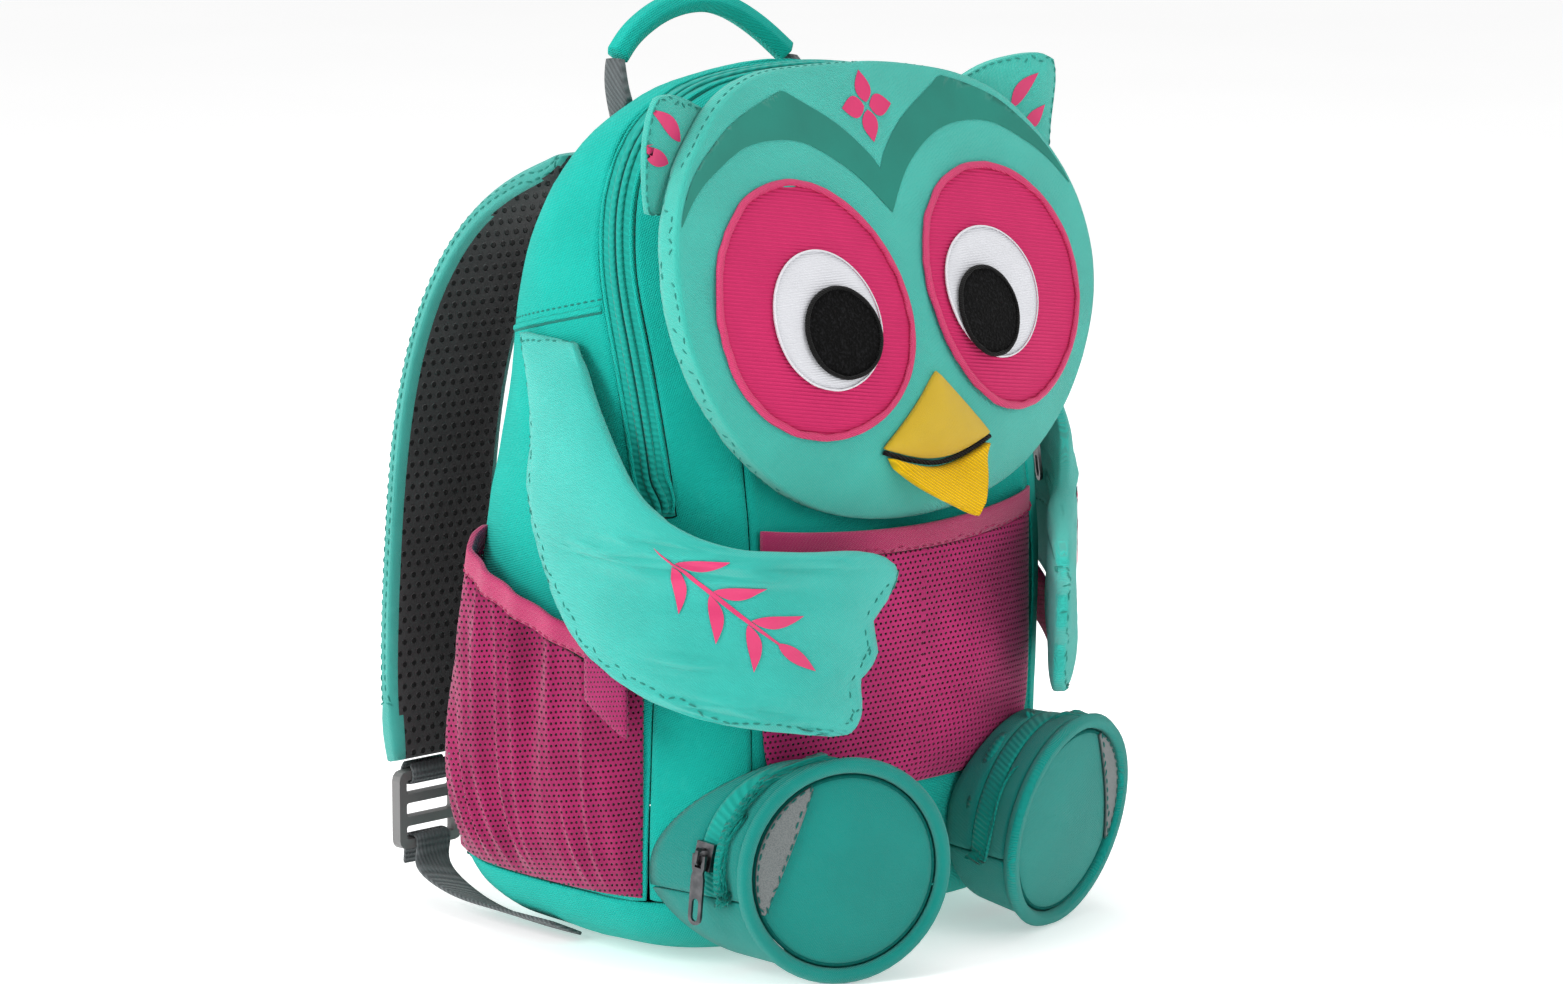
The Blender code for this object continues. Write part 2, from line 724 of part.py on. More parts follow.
def make_front_pocket(group):
    """Mesh pocket on the front panel under a band that dips behind the chin."""
    rise = FRONT_POCKET_TOP - FRONT_POCKET_LOW
    levels = [FRONT_POCKET_LOW + rise * share for share in (0, 0.06, 0.16, 0.36, 0.66, 1)]
    shares = (-1, -0.94, -0.75, -0.45, -0.15, 0.15, 0.45, 0.75, 0.94, 1)

    def sag(x, z):
        near_top = max((z - levels[3]) / (FRONT_POCKET_TOP - levels[3]), 0)
        return BAND_SAG * near_top * (1 - (x / (FRONT_POCKET_WIDTH / 2)) ** 2)

    def lay(z, deep, thick):
        points = []
        for share in shares:
            x = share * front_pocket_half(z)
            y = front_pocket_face(x, min(z, FRONT_POCKET_TOP)) + POCKET_CLOTH - thick + deep
            points.append(Vector((x, y, z - sag(x, min(z, FRONT_POCKET_TOP)))))
        return points

    outer = [lay(z, 0, POCKET_CLOTH) for z in levels]
    inner = [lay(z, POCKET_CLOTH, POCKET_CLOTH) for z in levels]
    walled("front_pocket", outer, inner, group, material("pocket_mesh", MAGENTA, 0.8))
    low = FRONT_POCKET_TOP + SEAM_GAP
    band = [low, low + BAND_HEIGHT]
    outer = [lay(z, 0, BAND_THICK) for z in band]
    inner = [lay(z, BAND_THICK, BAND_THICK) for z in band]
    walled("front_pocket_band", outer, inner, group, material("pink_band", PINK, 0.7))


def side_pocket_top(share):
    """Height of the side pocket's mesh under its band, front to rear."""
    return mix(SIDE_POCKET_FRONT_TOP, SIDE_POCKET_REAR_TOP, share)


def make_side_pockets(group):
    """Gathered mesh pocket and slanted elastic band on each side."""
    low = BASE_RISE + SIDE_POCKET_LOW
    front = LEVELS[0].zip + SIDE_POCKET_INSET
    rear = 1 - SIDE_POCKET_INSET
    shares = spread(0, 1, 3 * GATHER_COUNT + 1)
    rises = (0, 0.10, 0.30, 0.62, 1)

    def lay(side, up, deep, extra=0.0):
        points = []
        for share in shares:
            z = mix(low, side_pocket_top(share), up) + extra
            full = sqrt(1 - (2 * share - 1) ** 2)
            ease = mix(SIDE_POCKET_EASE, SIDE_MOUTH_EASE, up) * full * min(up / 0.3, 1) ** 0.6
            fold = GATHER_DEPTH * full * up * cos(2 * pi * GATHER_COUNT * share)
            out = SEAM_GAP + POCKET_CLOTH + ease + fold - deep
            points.append(side_point(side, mix(front, rear, share), z, out))
        return points

    for side, name in SIDES:
        outer = [lay(side, up, 0) for up in rises]
        inner = [lay(side, up, POCKET_CLOTH) for up in rises]
        walled(f"side_pocket_{name}", outer, inner, group, material("pocket_mesh", MAGENTA, 0.8))
        extras = (SEAM_GAP, SEAM_GAP + BAND_HEIGHT)
        outer = [lay(side, 1, -BAND_THICK + POCKET_CLOTH, extra) for extra in extras]
        inner = [lay(side, 1, POCKET_CLOTH, extra) for extra in extras]
        walled(f"side_band_{name}", outer, inner, group, material("pink_band", PINK, 0.7))


# Head
def face_share(z):
    return (z - FACE_LOW) / (FACE_TOP - FACE_LOW)


def face_half(z):
    return FACE_WIDTH / 2 * along(FACE, "width", face_share(z))


def face_rear(z):
    """Flat rear of the face, seated on the crown of the front panel."""
    return panel_front(0, z) - SEAM_GAP


def face_front(x, z):
    """Front of the stuffed face: fullest at the beak, curling forward at its sides."""
    across = min(abs(x) / max(face_half(z), SEAM_GAP), 1)
    swell = FACE_BULGE * along(FACE_FILL, "swell", face_share(z)) * (1 - across ** 2) ** 1.2
    return face_rear(z) - FACE_RIM - FACE_CURL * (x / (FACE_WIDTH / 2)) ** 2 - swell


def make_face(group):
    height = FACE_TOP - FACE_LOW
    right = [(row.width * FACE_WIDTH / 2, FACE_LOW + row.height * height) for row in FACE]
    left = [(-x, z) for x, z in right[-2:0:-1]]
    cushion("face_pad", right + left, (0, FACE_LOW + 0.5 * height), (1, 0.95, 0.82, 0.62, 0.35),
            lambda x, z, ring: face_front(x, z), lambda x, z, ring: face_rear(z),
            group, material("face_cloth", FACE_TEAL, 0.7))


def make_ears(group):
    """Soft ears in the seam behind the face, bending forward towards their tips."""
    height = FACE_TOP - FACE_LOW
    rim = [(row.width * FACE_WIDTH / 2, FACE_LOW + row.height * height) for row in EAR]
    root_high, root_low = Vector(rim[0]), Vector(rim[7])
    run = root_low - root_high
    outward = Vector((-run.y, run.x)).normalized()
    free = [(Vector(point) - root_high).dot(outward) for point in rim]
    reach = max(free)

    def bend(x, z):
        past = (Vector((abs(x), z)) - root_high).dot(outward) / reach
        return EAR_FORWARD * max(past - EAR_HIDDEN, 0) / (1 - EAR_HIDDEN)

    def front(x, z, ring):
        return face_rear(z) + SEAM_GAP - bend(x, z) + EAR_EDGE * ring ** 4

    def rear(x, z, ring):
        return face_rear(z) + SEAM_GAP - bend(x, z) + EAR_THICK - EAR_EDGE * ring ** 4

    for side, name in SIDES:
        loop = [(side * x, z) for x, z in rim]
        centre = (side * sum(x for x, _ in rim) / len(rim), sum(z for _, z in rim) / len(rim))
        cushion(f"ear_{name}", loop, centre, (1, 0.8, 0.4), front, rear, group,
                material("face_cloth", FACE_TEAL, 0.7))


def ellipse(centre, width, height, count):
    return [(centre[0] + width / 2 * cos(angle), centre[1] + height / 2 * sin(angle))
            for angle in spread(0, 2 * pi, count + 1)[:-1]]


def make_eyes(group):
    """Three cloth discs for each eye, laid on the face one over the other."""
    layers = (
        ("eye_patch", (EYE_X, EYE_Z), (EYE_WIDTH, EYE_HEIGHT), 24, (1, 0.66, 0.33), PINK, 0.7),
        ("eye_white", (WHITE_X, WHITE_Z), (WHITE_SIZE, WHITE_SIZE), 18, (1, 0.5), WHITE, 0.7),
        ("pupil", (PUPIL_X, PUPIL_Z), (PUPIL_SIZE, PUPIL_SIZE), 16, (1, 0.5), BLACK, 0.95),
    )
    for side, name in SIDES:
        for level, (piece, place, size, count, rings, colour, rough) in enumerate(layers):
            under = PATCH_SEAT + level * (PATCH_THICK + SEAM_GAP)
            centre = (side * place[0], place[1])
            cushion(f"{piece}_{name}", ellipse(centre, *size, count), centre, rings,
                    lambda x, z, ring, out=under + PATCH_THICK: face_front(x, z) - out,
                    lambda x, z, ring, out=under: face_front(x, z) - out,
                    group, material(piece, colour, rough))


def mouth_height(x):
    """Height of the mouth line, which rises to the beak's corners."""
    return MOUTH_Z + (BEAK_CORNER_Z - MOUTH_Z) * (abs(x) / (BEAK_WIDTH / 2)) ** 1.5


def make_beak(group):
    """Padded upper beak, dark piping along the mouth and a lower beak that juts forward."""
    yellow = material("beak_cloth", YELLOW, 0.6)
    half = BEAK_WIDTH / 2
    right = [(half * s, mix(BEAK_TOP, BEAK_CORNER_Z, s ** 0.93)) for s in (0, 0.33, 0.66, 1)]
    mouth = [(half * s, mouth_height(half * s)) for s in (0.8, 0.5, 0.2)]
    loop = right + mouth + [(-x, z) for x, z in (right[1:] + mouth)[::-1]]
    cushion("beak_upper", loop, (0, mix(MOUTH_Z, BEAK_TOP, 0.4)), (1, 0.8, 0.4),
            lambda x, z, ring: face_front(x, z) - SEAM_GAP - BEAK_PAD * (1 - 0.65 * ring ** 4),
            lambda x, z, ring: face_front(x, z) - SEAM_GAP, group, yellow)

    drop = SEAM_GAP + PIPING_DIAMETER / 2
    line = []
    for x in spread(-half, half, 11):
        z = mouth_height(x) - drop
        line.append((x, face_front(x, z) - drop, z))
    tube("mouth_piping", line, PIPING_DIAMETER, group, material("dark_piping", BLACK, 0.6))

    start = 2 * drop + SEAM_GAP
    columns = (-1, -0.7, -0.35, 0, 0.35, 0.7, 1)

    def lay(share, deep):
        points = []
        width = half * 0.92 * (1 - share) ** 0.8 + TONGUE_TIP * min(share * 3, 1)
        root_y = face_front(0, MOUTH_Z)
        for column in columns:
            x = width * column
            z = mix(mouth_height(x * 1.05) - start, MOUTH_Z - start - TONGUE_DROP, share)
            z += TONGUE_TIP * share * column ** 2
            back = face_front(x, z) - SEAM_GAP - deep
            free = root_y - TONGUE_REACH * share - deep + 2 * TONGUE_TIP * column ** 2 * (1 - share)
            points.append(Vector((x, min(back, free), z)))
        return points

    rows = (0, 0.18, 0.42, 0.68, 0.88, 1)
    walled("beak_lower", [lay(s, TONGUE_THICK) for s in rows], [lay(s, 0) for s in rows],
           group, yellow)


# Wings
def wing_path(turns, side):
    """Finely stepped plan of a wing with the reach at each step."""
    points = []
    for i in range(len(turns) - 1):
        before, after = max(i - 1, 0), min(i + 2, len(turns) - 1)
        p = [Vector((side * turns[k].out, -turns[k].forward)) for k in (before, i, i + 1, after)]
        for t in spread(0, 1, 9)[:-1]:
            points.append(0.5 * (2 * p[1] + (p[2] - p[0]) * t
                                 + (2 * p[0] - 5 * p[1] + 4 * p[2] - p[3]) * t ** 2
                                 + (3 * p[1] - p[0] - 3 * p[2] + p[3]) * t ** 3))
    points.append(Vector((side * turns[-1].out, -turns[-1].forward)))
    reach = [0.0]
    for a, b in zip(points, points[1:]):
        reach.append(reach[-1] + (b - a).length)
    return points, reach


def wing_place(path, reach, side):
    """Plan point at a reach along the wing, and the direction out of the wing there."""
    points, steps = path
    i = max(k for k in range(len(steps) - 1) if steps[k] <= max(reach, 0))
    share = (reach - steps[i]) / (steps[i + 1] - steps[i])
    heading = points[min(i + 2, len(points) - 1)] - points[max(i - 1, 0)]
    outward = Vector((heading.y, -heading.x)).normalized() * -side
    return points[i].lerp(points[i + 1], share), outward


def bag_side(y, z):
    """Half-width of the bag's shell at a depth and height, and 0 in front of or behind it."""
    line = [side_point(1, across, z, 0) for across in spread(0, 1, 25)]
    for a, b in zip(line, line[1:]):
        if a.y <= y <= b.y:
            return mix(a.x, b.x, (y - a.y) / (b.y - a.y))
    return 0.0


def wing_point(path, side, row, share, out):
    """Point of a wing row; out runs from -1 on its inner face to 1 on its outer face."""
    reach = mix(row.rear, row.front, share)
    place, outward = wing_place(path, reach, side)
    top, bottom = WING[0].height, WING[-1].height
    rise = min((top - row.height) / WING_THICK, (row.height - bottom) / WING_THICK, 1)
    full = sqrt(max(4 * share * (1 - share), 0)) * max(rise, 0) ** 0.5
    half = mix(WING_EDGE, WING_THICK, full) / 2
    place = place - outward * row.tuck
    clear = bag_side(place.y, row.height) + WING_CLEAR + half
    place.x = side * max(abs(place.x), clear) if clear > WING_CLEAR + half else place.x
    place = place + outward * half * out
    return Vector((place.x, place.y, row.height))


def make_wings(group):
    """Stuffed wings from the side seams; the left one hugs the bag, the right one reaches out."""
    shares = (0, 0.12, 0.36, 0.64, 0.88, 1)
    for (side, name), turns in zip(SIDES, (WING_HUGGING, WING_REACHING)):
        path = wing_path(turns, side)
        outer = [[wing_point(path, side, row, s, 1) for s in shares] for row in WING]
        inner = [[wing_point(path, side, row, s, -1) for s in shares] for row in WING]
        walled(f"wing_{name}", outer, inner, group, material("wing_cloth", FACE_TEAL, 0.7))
        make_tab(group, side, name, path)


def make_tab(group, side, name, path):
    """Fastening tab under the wing's lower edge, sewn to its inner face."""
    def lay(drop, deep):
        points = []
        for reach in (TAB_REACH, TAB_REACH + TAB_SIZE / 2, TAB_REACH + TAB_SIZE):
            place, outward = wing_place(path, reach, side)
            place = place - outward * (TAB_SET_IN + deep)
            z = TAB_TOP - drop - TAB_SLANT * (reach - TAB_REACH)
            points.append(Vector((place.x, place.y, z)))
        return points

    drops = (0, TAB_SIZE / 2, TAB_SIZE)
    walled(f"wing_tab_{name}", [lay(d, 0) for d in drops], [lay(d, TAB_THICK) for d in drops],
           group, material("tab_pile", PINK, 0.95))


# Feet
def foot_axes(foot):
    """Centre of the foot's end disc and its directions outward, up and forward."""
    outward = Vector((foot.side * cos(foot.splay), sin(foot.splay), 0))
    ahead = Vector((foot.side * sin(foot.splay), -cos(foot.splay), 0))
    up = Vector((0, 0, cos(foot.lean))) + ahead * sin(foot.lean)
    forward = ahead * cos(foot.lean) - Vector((0, 0, sin(foot.lean)))
    centre = Vector((foot.side * FOOT_X, FOOT_Y, FOOT_RADIUS * cos(foot.lean)))
    return centre, outward, up, forward


def foot_disc_point(foot, radius, angle, ahead):
    centre, outward, up, forward = foot_axes(foot)
    return centre + (outward * cos(angle) + up * sin(angle)) * radius + forward * ahead


def foot_seat(x, z):
    """What the foot is sewn against, bag or front pocket."""
    seat = bag_front(x, z)
    half = front_pocket_half(max(z, FRONT_POCKET_LOW))
    if abs(x) < half + HEEL_EASE and z > FRONT_POCKET_LOW - HEEL_EASE:
        seat = min(seat, front_pocket_face(min(max(x, -half), half), max(z, FRONT_POCKET_LOW)))
    return seat - HEEL_CLEAR


def foot_wall(foot, angle, reach, deep):
    """Point in the foot's wall, at a reach back from its piped end, at most to the bag."""
    start = foot_disc_point(foot, FOOT_RADIUS - FOOT_SET_BACK - deep, angle,
                            -FOOT_PIPING / 2 - SEAM_GAP)
    radius = HEEL_RADIUS - deep
    x = foot.side * (HEEL_X + radius * cos(angle))
    z = FOOT_RADIUS + radius * sin(angle)
    end = Vector((x, foot_seat(x, z), z))
    return start.lerp(end, min(reach / (end - start).length, 1))


def make_foot_wall(group, name, foot, angles, reaches, finish):
    outer = [[foot_wall(foot, a, reach, 0) for a in angles] for reach in reaches]
    inner = [[foot_wall(foot, a, reach, CLOTH) for a in angles] for reach in reaches]
    walled(f"{name}_{foot.name}", outer, inner, group, finish)


def make_feet(group):
    """Each foot: sole, and over it a band, a zip and a heel up to the bag; then its end."""
    cloth = material("foot_cloth", DEEP_TEAL, 0.75)
    tape = material("zip_tape", DEEP_TEAL, 0.6)
    step = SEAM_GAP / FOOT_RADIUS
    over = spread(SOLE_ANGLE + step, pi - SOLE_ANGLE - step, 15)
    under = spread(-pi - SOLE_ANGLE + step, SOLE_ANGLE - step, 10)
    for foot in FEET:
        make_foot_wall(group, "foot_sole", foot, under, (0, BAG_DEPTH), cloth)
        make_foot_wall(group, "foot_band", foot, over, (0, FOOT_ZIP_START - SEAM_GAP), cloth)
        make_foot_wall(group, "foot_zip", foot, over, (FOOT_ZIP_START, FOOT_ZIP_END), tape)
        make_foot_wall(group, "foot_heel", foot, over, (FOOT_ZIP_END + SEAM_GAP, BAG_DEPTH), cloth)
        make_foot_end(group, foot, cloth)
        make_foot_slider(group, foot)


def make_foot_end(group, foot, cloth):
    """Crowned end disc in a fat ring of piping, with a grey patch across its outer side."""
    radius = FOOT_RADIUS - FOOT_PIPING - SEAM_GAP

    def disc(ring, deep):
        ahead = DISC_CROWN * (1 - ring ** 2) - deep
        return [foot_disc_point(foot, radius * ring, a, ahead) for a in spread(0, 2 * pi, 25)[:-1]]

    rings = (1, 0.66, 0.33)
    pole = [foot_disc_point(foot, 0, 0, DISC_CROWN - deep) for deep in (0, CLOTH)]
    walled(f"foot_disc_{foot.name}", [disc(r, 0) for r in rings], [disc(r, CLOTH) for r in rings],
           group, cloth, wrap=True, pole=pole)

    bpy.ops.mesh.primitive_torus_add(major_radius=FOOT_RADIUS - FOOT_PIPING / 2,
                                     minor_radius=FOOT_PIPING / 2, major_segments=28,
                                     minor_segments=6)
    made = bpy.context.object
    ring_mesh = made.data
    bpy.data.objects.remove(made)
    centre, outward, up, forward = foot_axes(foot)
    turn = Matrix((outward, up, forward)).transposed().to_4x4()
    ring_mesh.transform(Matrix.Translation(centre) @ turn)
    add_object(f"foot_piping_{foot.name}", ring_mesh, group, cloth)

    start, end = PATCH_ANGLES
    arc_radius = radius - 2 * SEAM_GAP
    tips = [Vector((cos(a), sin(a))) * arc_radius for a in (start, end)]

    def patch(across, deep):
        points = []
        for t in spread(0.03, 0.97, 10):
            arc = Vector((cos(mix(start, end, t)), sin(mix(start, end, t)))) * arc_radius
            place = arc.lerp(tips[0].lerp(tips[1], t), across)
            crown = DISC_CROWN * (1 - (place.length / radius) ** 2)
            out = crown + SEAM_GAP + REFLECTOR_THICK - deep
            angle = Vector((1, 0)).angle_signed(place) * -1
            points.append(foot_disc_point(foot, place.length, angle, out))
        return points

    walled(f"foot_patch_{foot.name}", [patch(s, 0) for s in (0, 0.5, 1)],
           [patch(s, REFLECTOR_THICK) for s in (0, 0.5, 1)], group,
           material("reflective_cloth", SILVER_GREY, 0.4))


def slider_place(foot):
    """Frame of the foot's slider: X along the hinge, Y up the zip, Z out of the foot."""
    reach = (FOOT_ZIP_START + FOOT_ZIP_END) / 2
    here = foot_wall(foot, SLIDER_ANGLE, reach, 0)
    above = foot_wall(foot, SLIDER_ANGLE + 0.1, reach, 0)
    back = foot_wall(foot, SLIDER_ANGLE, FOOT_ZIP_END, 0)
    chain = (above - here).normalized()
    hinge = (back - here).normalized()
    hinge = (hinge - chain * hinge.dot(chain)).normalized()
    out = hinge.cross(chain)
    if out.x * foot.side < 0:
        hinge, out = -hinge, -out
    turn = Matrix((hinge, chain, out)).transposed().to_4x4()
    return Matrix.Translation(here + out * SEAM_GAP) @ turn


def slider_body(name, group, finish):
    """Slider with its bridge, in its own frame, base on Z = 0."""
    body = box(name, (SLIDER_WIDTH, SLIDER_LENGTH, SLIDER_THICK), group, finish)
    body.data.transform(Matrix.Translation((0, 0, SLIDER_THICK / 2)))

    def arch(inset):
        reach, rise = BRIDGE_LENGTH / 2 - inset, SLIDER_THICK + BRIDGE_HEIGHT - inset
        low = SLIDER_THICK / 2
        half = [(reach, low), (reach, rise - BRIDGE_THICK), (reach - BRIDGE_THICK, rise)]
        line = [(-y, z) for y, z in half] + half[::-1]
        return [[Vector((x, y, z)) for x in (-BRIDGE_THICK * 0.7, BRIDGE_THICK * 0.7)]
                for y, z in line]

    bridge = walled(name + "_bridge", arch(0), arch(BRIDGE_THICK), group, finish)
    unite(body, bridge)
    return body


def puller_loops():
    """Outline and holes of a puller that hangs down its own -Y from its bar at Y = 0."""
    half = PULLER_WIDTH / 2
    bar = PULLER_THICK / 2
    eye = BRIDGE_LENGTH / 2 + PULLER_THICK
    outer = [(-half, bar), (-half, -eye * 0.9), (-half * 0.8, -eye * 1.4), (-half, -eye * 2.0),
             (-half, half - PULLER_LENGTH)]
    outer += [(half * cos(a), half - PULLER_LENGTH + half * sin(a))
              for a in spread(pi, 2 * pi, 7)[1:-1]]
    outer += [(-x, y) for x, y in outer[4::-1]]
    arm = half - PULLER_ARM
    eye_hole = [(-arm, -bar), (-arm, -eye), (arm, -eye), (arm, -bar)]
    slot = PULLER_WIDTH * 0.26
    low = half - PULLER_LENGTH
    end_hole = [(slot * cos(a), low + slot * sin(a)) for a in spread(pi, 2 * pi, 6)]
    end_hole += [(slot * cos(a), low + PULLER_SLOT + slot * sin(a)) for a in spread(0, pi, 6)]
    return outer, eye_hole, end_hole


def make_foot_slider(group, foot):
    """Slider on the foot's zip and the puller that hangs straight down from its bridge."""
    metal = material("zip_metal", GUNMETAL, 0.3, 1.0)
    frame = slider_place(foot)
    slider = slider_body(f"foot_slider_{foot.name}", group, metal)
    slider.data.transform(frame)

    puller = flat_plate(f"foot_puller_{foot.name}", puller_loops(), PULLER_THICK, group, metal)
    bar = frame @ Vector((0, 0, SLIDER_THICK + BAR_RISE))
    hinge = frame.to_3x3() @ Vector((1, 0, 0))
    up = Vector((0, 0, 1))
    up = (up - hinge * up.dot(hinge)).normalized()
    turn = Matrix((hinge, up, hinge.cross(up))).transposed().to_4x4()
    puller.matrix_world = Matrix.Translation(bar) @ turn


# Carrying
def make_main_slider(group):
    """Main slider at the far end of the zip with its puller lying down, as one plain piece."""
    metal = material("zip_metal", GUNMETAL, 0.3, 1.0)
    z = ZIP_LOW_END + MAIN_SLIDER_RISE
    u = side_place(z)
    across = along(LEVELS, "zip", z / BAG_HEIGHT)
    here = gusset_point(u, across, 0)
    chain = (gusset_point(side_place(z + SLIDER_LENGTH), across, 0) - here).normalized()
    hinge = gusset_point(u, across + 0.02, 0) - gusset_point(u, across - 0.02, 0)
    hinge = (hinge - chain * hinge.dot(chain)).normalized()
    out = hinge.cross(chain)
    if out.x < 0:
        hinge, out = -hinge, -out
    turn = Matrix((hinge, chain, out)).transposed().to_4x4()
    slider = box("main_slider", (SLIDER_WIDTH, SLIDER_LENGTH, SLIDER_THICK), group, metal)
    slider.data.transform(Matrix.Translation((0, 0, SLIDER_THICK / 2)))
    outer, _, end_hole = puller_loops()
    puller = flat_plate("main_puller", (outer, end_hole), PULLER_THICK, group, metal)
    puller.data.transform(Matrix.Translation((0, 0, SLIDER_THICK)))
    unite(slider, puller)
    slider.data.transform(Matrix.Translation(here + out * SEAM_GAP * 2) @ turn)


def ribbon(name, rows, thickness, group, finish, shares=(0, 1), full=None):
    """Strip through rows of (left edge, right edge, normal); full(share) thins its edges."""
    full = full or (lambda share: 1)

    def lay(side):
        return [[left.lerp(right, s) + normal * side * thickness / 2 * full(s) for s in shares]
                for left, right, normal in rows]

    return walled(name, lay(1), lay(-1), group, finish)


def strap_rows(side):
    """Edges and normals of the padded strap from the top seam down to the buckle."""
    middles = []
    for row in STRAP:
        y = back_face(row.height) + SEAM_GAP + STRAP_THICK / 2 + row.away
        middles.append(Vector((side * row.out, y, row.height)))
    rows = []
    for i, (row, middle) in enumerate(zip(STRAP, middles)):
        run = middles[min(i + 1, len(middles) - 1)] - middles[max(i - 1, 0)]
        if i == 0:
            run = Vector((0, 0, -1))
        normal = Vector((0, -run.z, run.y)).normalized()
        half = Vector((side * row.width / 2, 0, 0))
        rows.append((middle + half - normal * row.twist / 2, middle - half + normal * row.twist / 2,
                     normal))
    return rows


def make_straps(group):
    """Padded shoulder straps, each ending in a ladder lock with webbing down to the base."""
    grey = material("webbing", MID_GREY, 0.8)
    for side, name in SIDES:
        rows = strap_rows(side)
        ribbon(f"shoulder_strap_{name}", rows, STRAP_THICK, group,
               material("strap_cloth", TEAL, 0.75), shares=(0, 0.08, 0.35, 0.65, 0.92, 1),
               full=lambda s: 0.45 if s in (0, 1) else 1)
        left, right, normal = rows[-1]
        end = (left + right) / 2
        lock = make_lock(group, side, name, end)
        drop = SEAM_GAP * 2 + abs(normal.z) * STRAP_THICK / 2
        loop_top = Vector((end.x, end.y, end.z - drop))
        make_buckle_loop(group, name, loop_top, lock)
        make_lower_webbing(group, side, name, lock, grey)


def make_lock(group, side, name, end):
    """Plastic ladder lock: a plate with an upper slot and two lower slots."""
    centre = Vector((end.x, end.y, end.z - LOCK_DROP - LOCK_HEIGHT / 2))
    outer = superellipse(LOCK_WIDTH, LOCK_HEIGHT, LOCK_BAR, 4)
    slot_width = LOCK_WIDTH - 2 * LOCK_BAR
    slot_height = (LOCK_HEIGHT - 4 * LOCK_BAR) / 3
    loops = [outer]
    for k in range(3):
        y = (k - 1) * (slot_height + LOCK_BAR)
        hole = superellipse(slot_width, slot_height, LOCK_BAR / 4, 3)
        loops.append([(px, py + y) for px, py in hole])
    lock = flat_plate(f"ladder_lock_{name}", loops, LOCK_THICK, group,
                      material("lock_plastic", MID_GREY, 0.45))
    stand = Matrix(((1, 0, 0), (0, 0, -1), (0, 1, 0))).to_4x4()
    lock.data.transform(Matrix.Translation(centre) @ stand)
    return centre


def strip_along(points, width, twist, thickness, name, group, finish):
    """Webbing through points, its width along X turned down by twist at each point."""
    rows = []
    for i, (point, turn) in enumerate(zip(points, twist)):
        run = points[min(i + 1, len(points) - 1)] - points[max(i - 1, 0)]
        across = Vector((cos(turn), 0, sin(turn)))
        rows.append((point - across * width / 2, point + across * width / 2,
                     across.cross(run).normalized()))
    return ribbon(name, rows, thickness, group, finish)


def make_buckle_loop(group, name, top, lock):
    """Short webbing loop from the padded strap's end round the lock's top bar."""
    bar_z = lock.z + LOCK_HEIGHT / 2 - LOCK_BAR / 2
    around = LOCK_THICK / 2 + LOOP_GAP + WEBBING_THICK / 2
    below = bar_z - LOCK_BAR / 2 - LOOP_GAP - WEBBING_THICK / 2
    front = [(-0.45, top.z), (-1, bar_z + LOCK_BAR / 2), (-1, bar_z - LOCK_BAR / 2), (-0.6, below)]
    points = [Vector((top.x, lock.y + around * share, z)) for share, z in front]
    points += [Vector((top.x, lock.y - around * share, z)) for share, z in reversed(front)]
    strip_along(points, LOOP_WIDTH, [0] * len(points), WEBBING_THICK, f"buckle_loop_{name}",
                group, material("webbing", MID_GREY, 0.8))


def make_lower_webbing(group, side, name, lock, grey):
    """Webbing from under the base up to the lock, over its lowest bar and out behind it."""
    bar_z = lock.z - LOCK_HEIGHT / 2 + LOCK_BAR / 2
    around = LOCK_THICK / 2 + LOOP_GAP + WEBBING_THICK / 2
    above = bar_z + LOCK_BAR / 2 + LOOP_GAP + WEBBING_THICK / 2
    points = [Vector((side * row.out, row.back, row.height)) for row in WEBBING]
    twist = [-side * -row.tilt for row in WEBBING]
    over = ((-1, bar_z - LOCK_BAR / 2), (-1, bar_z + LOCK_BAR / 2), (-0.6, above), (0.6, above),
            (1, bar_z + LOCK_BAR / 2), (1, bar_z - LOCK_BAR), (1.2, bar_z - TAIL_LENGTH))
    points += [Vector((lock.x, lock.y + around * share, z)) for share, z in over]
    twist += [0] * len(over)
    strip_along(points, WEBBING_WIDTH, twist, WEBBING_THICK, f"lower_webbing_{name}", group, grey)


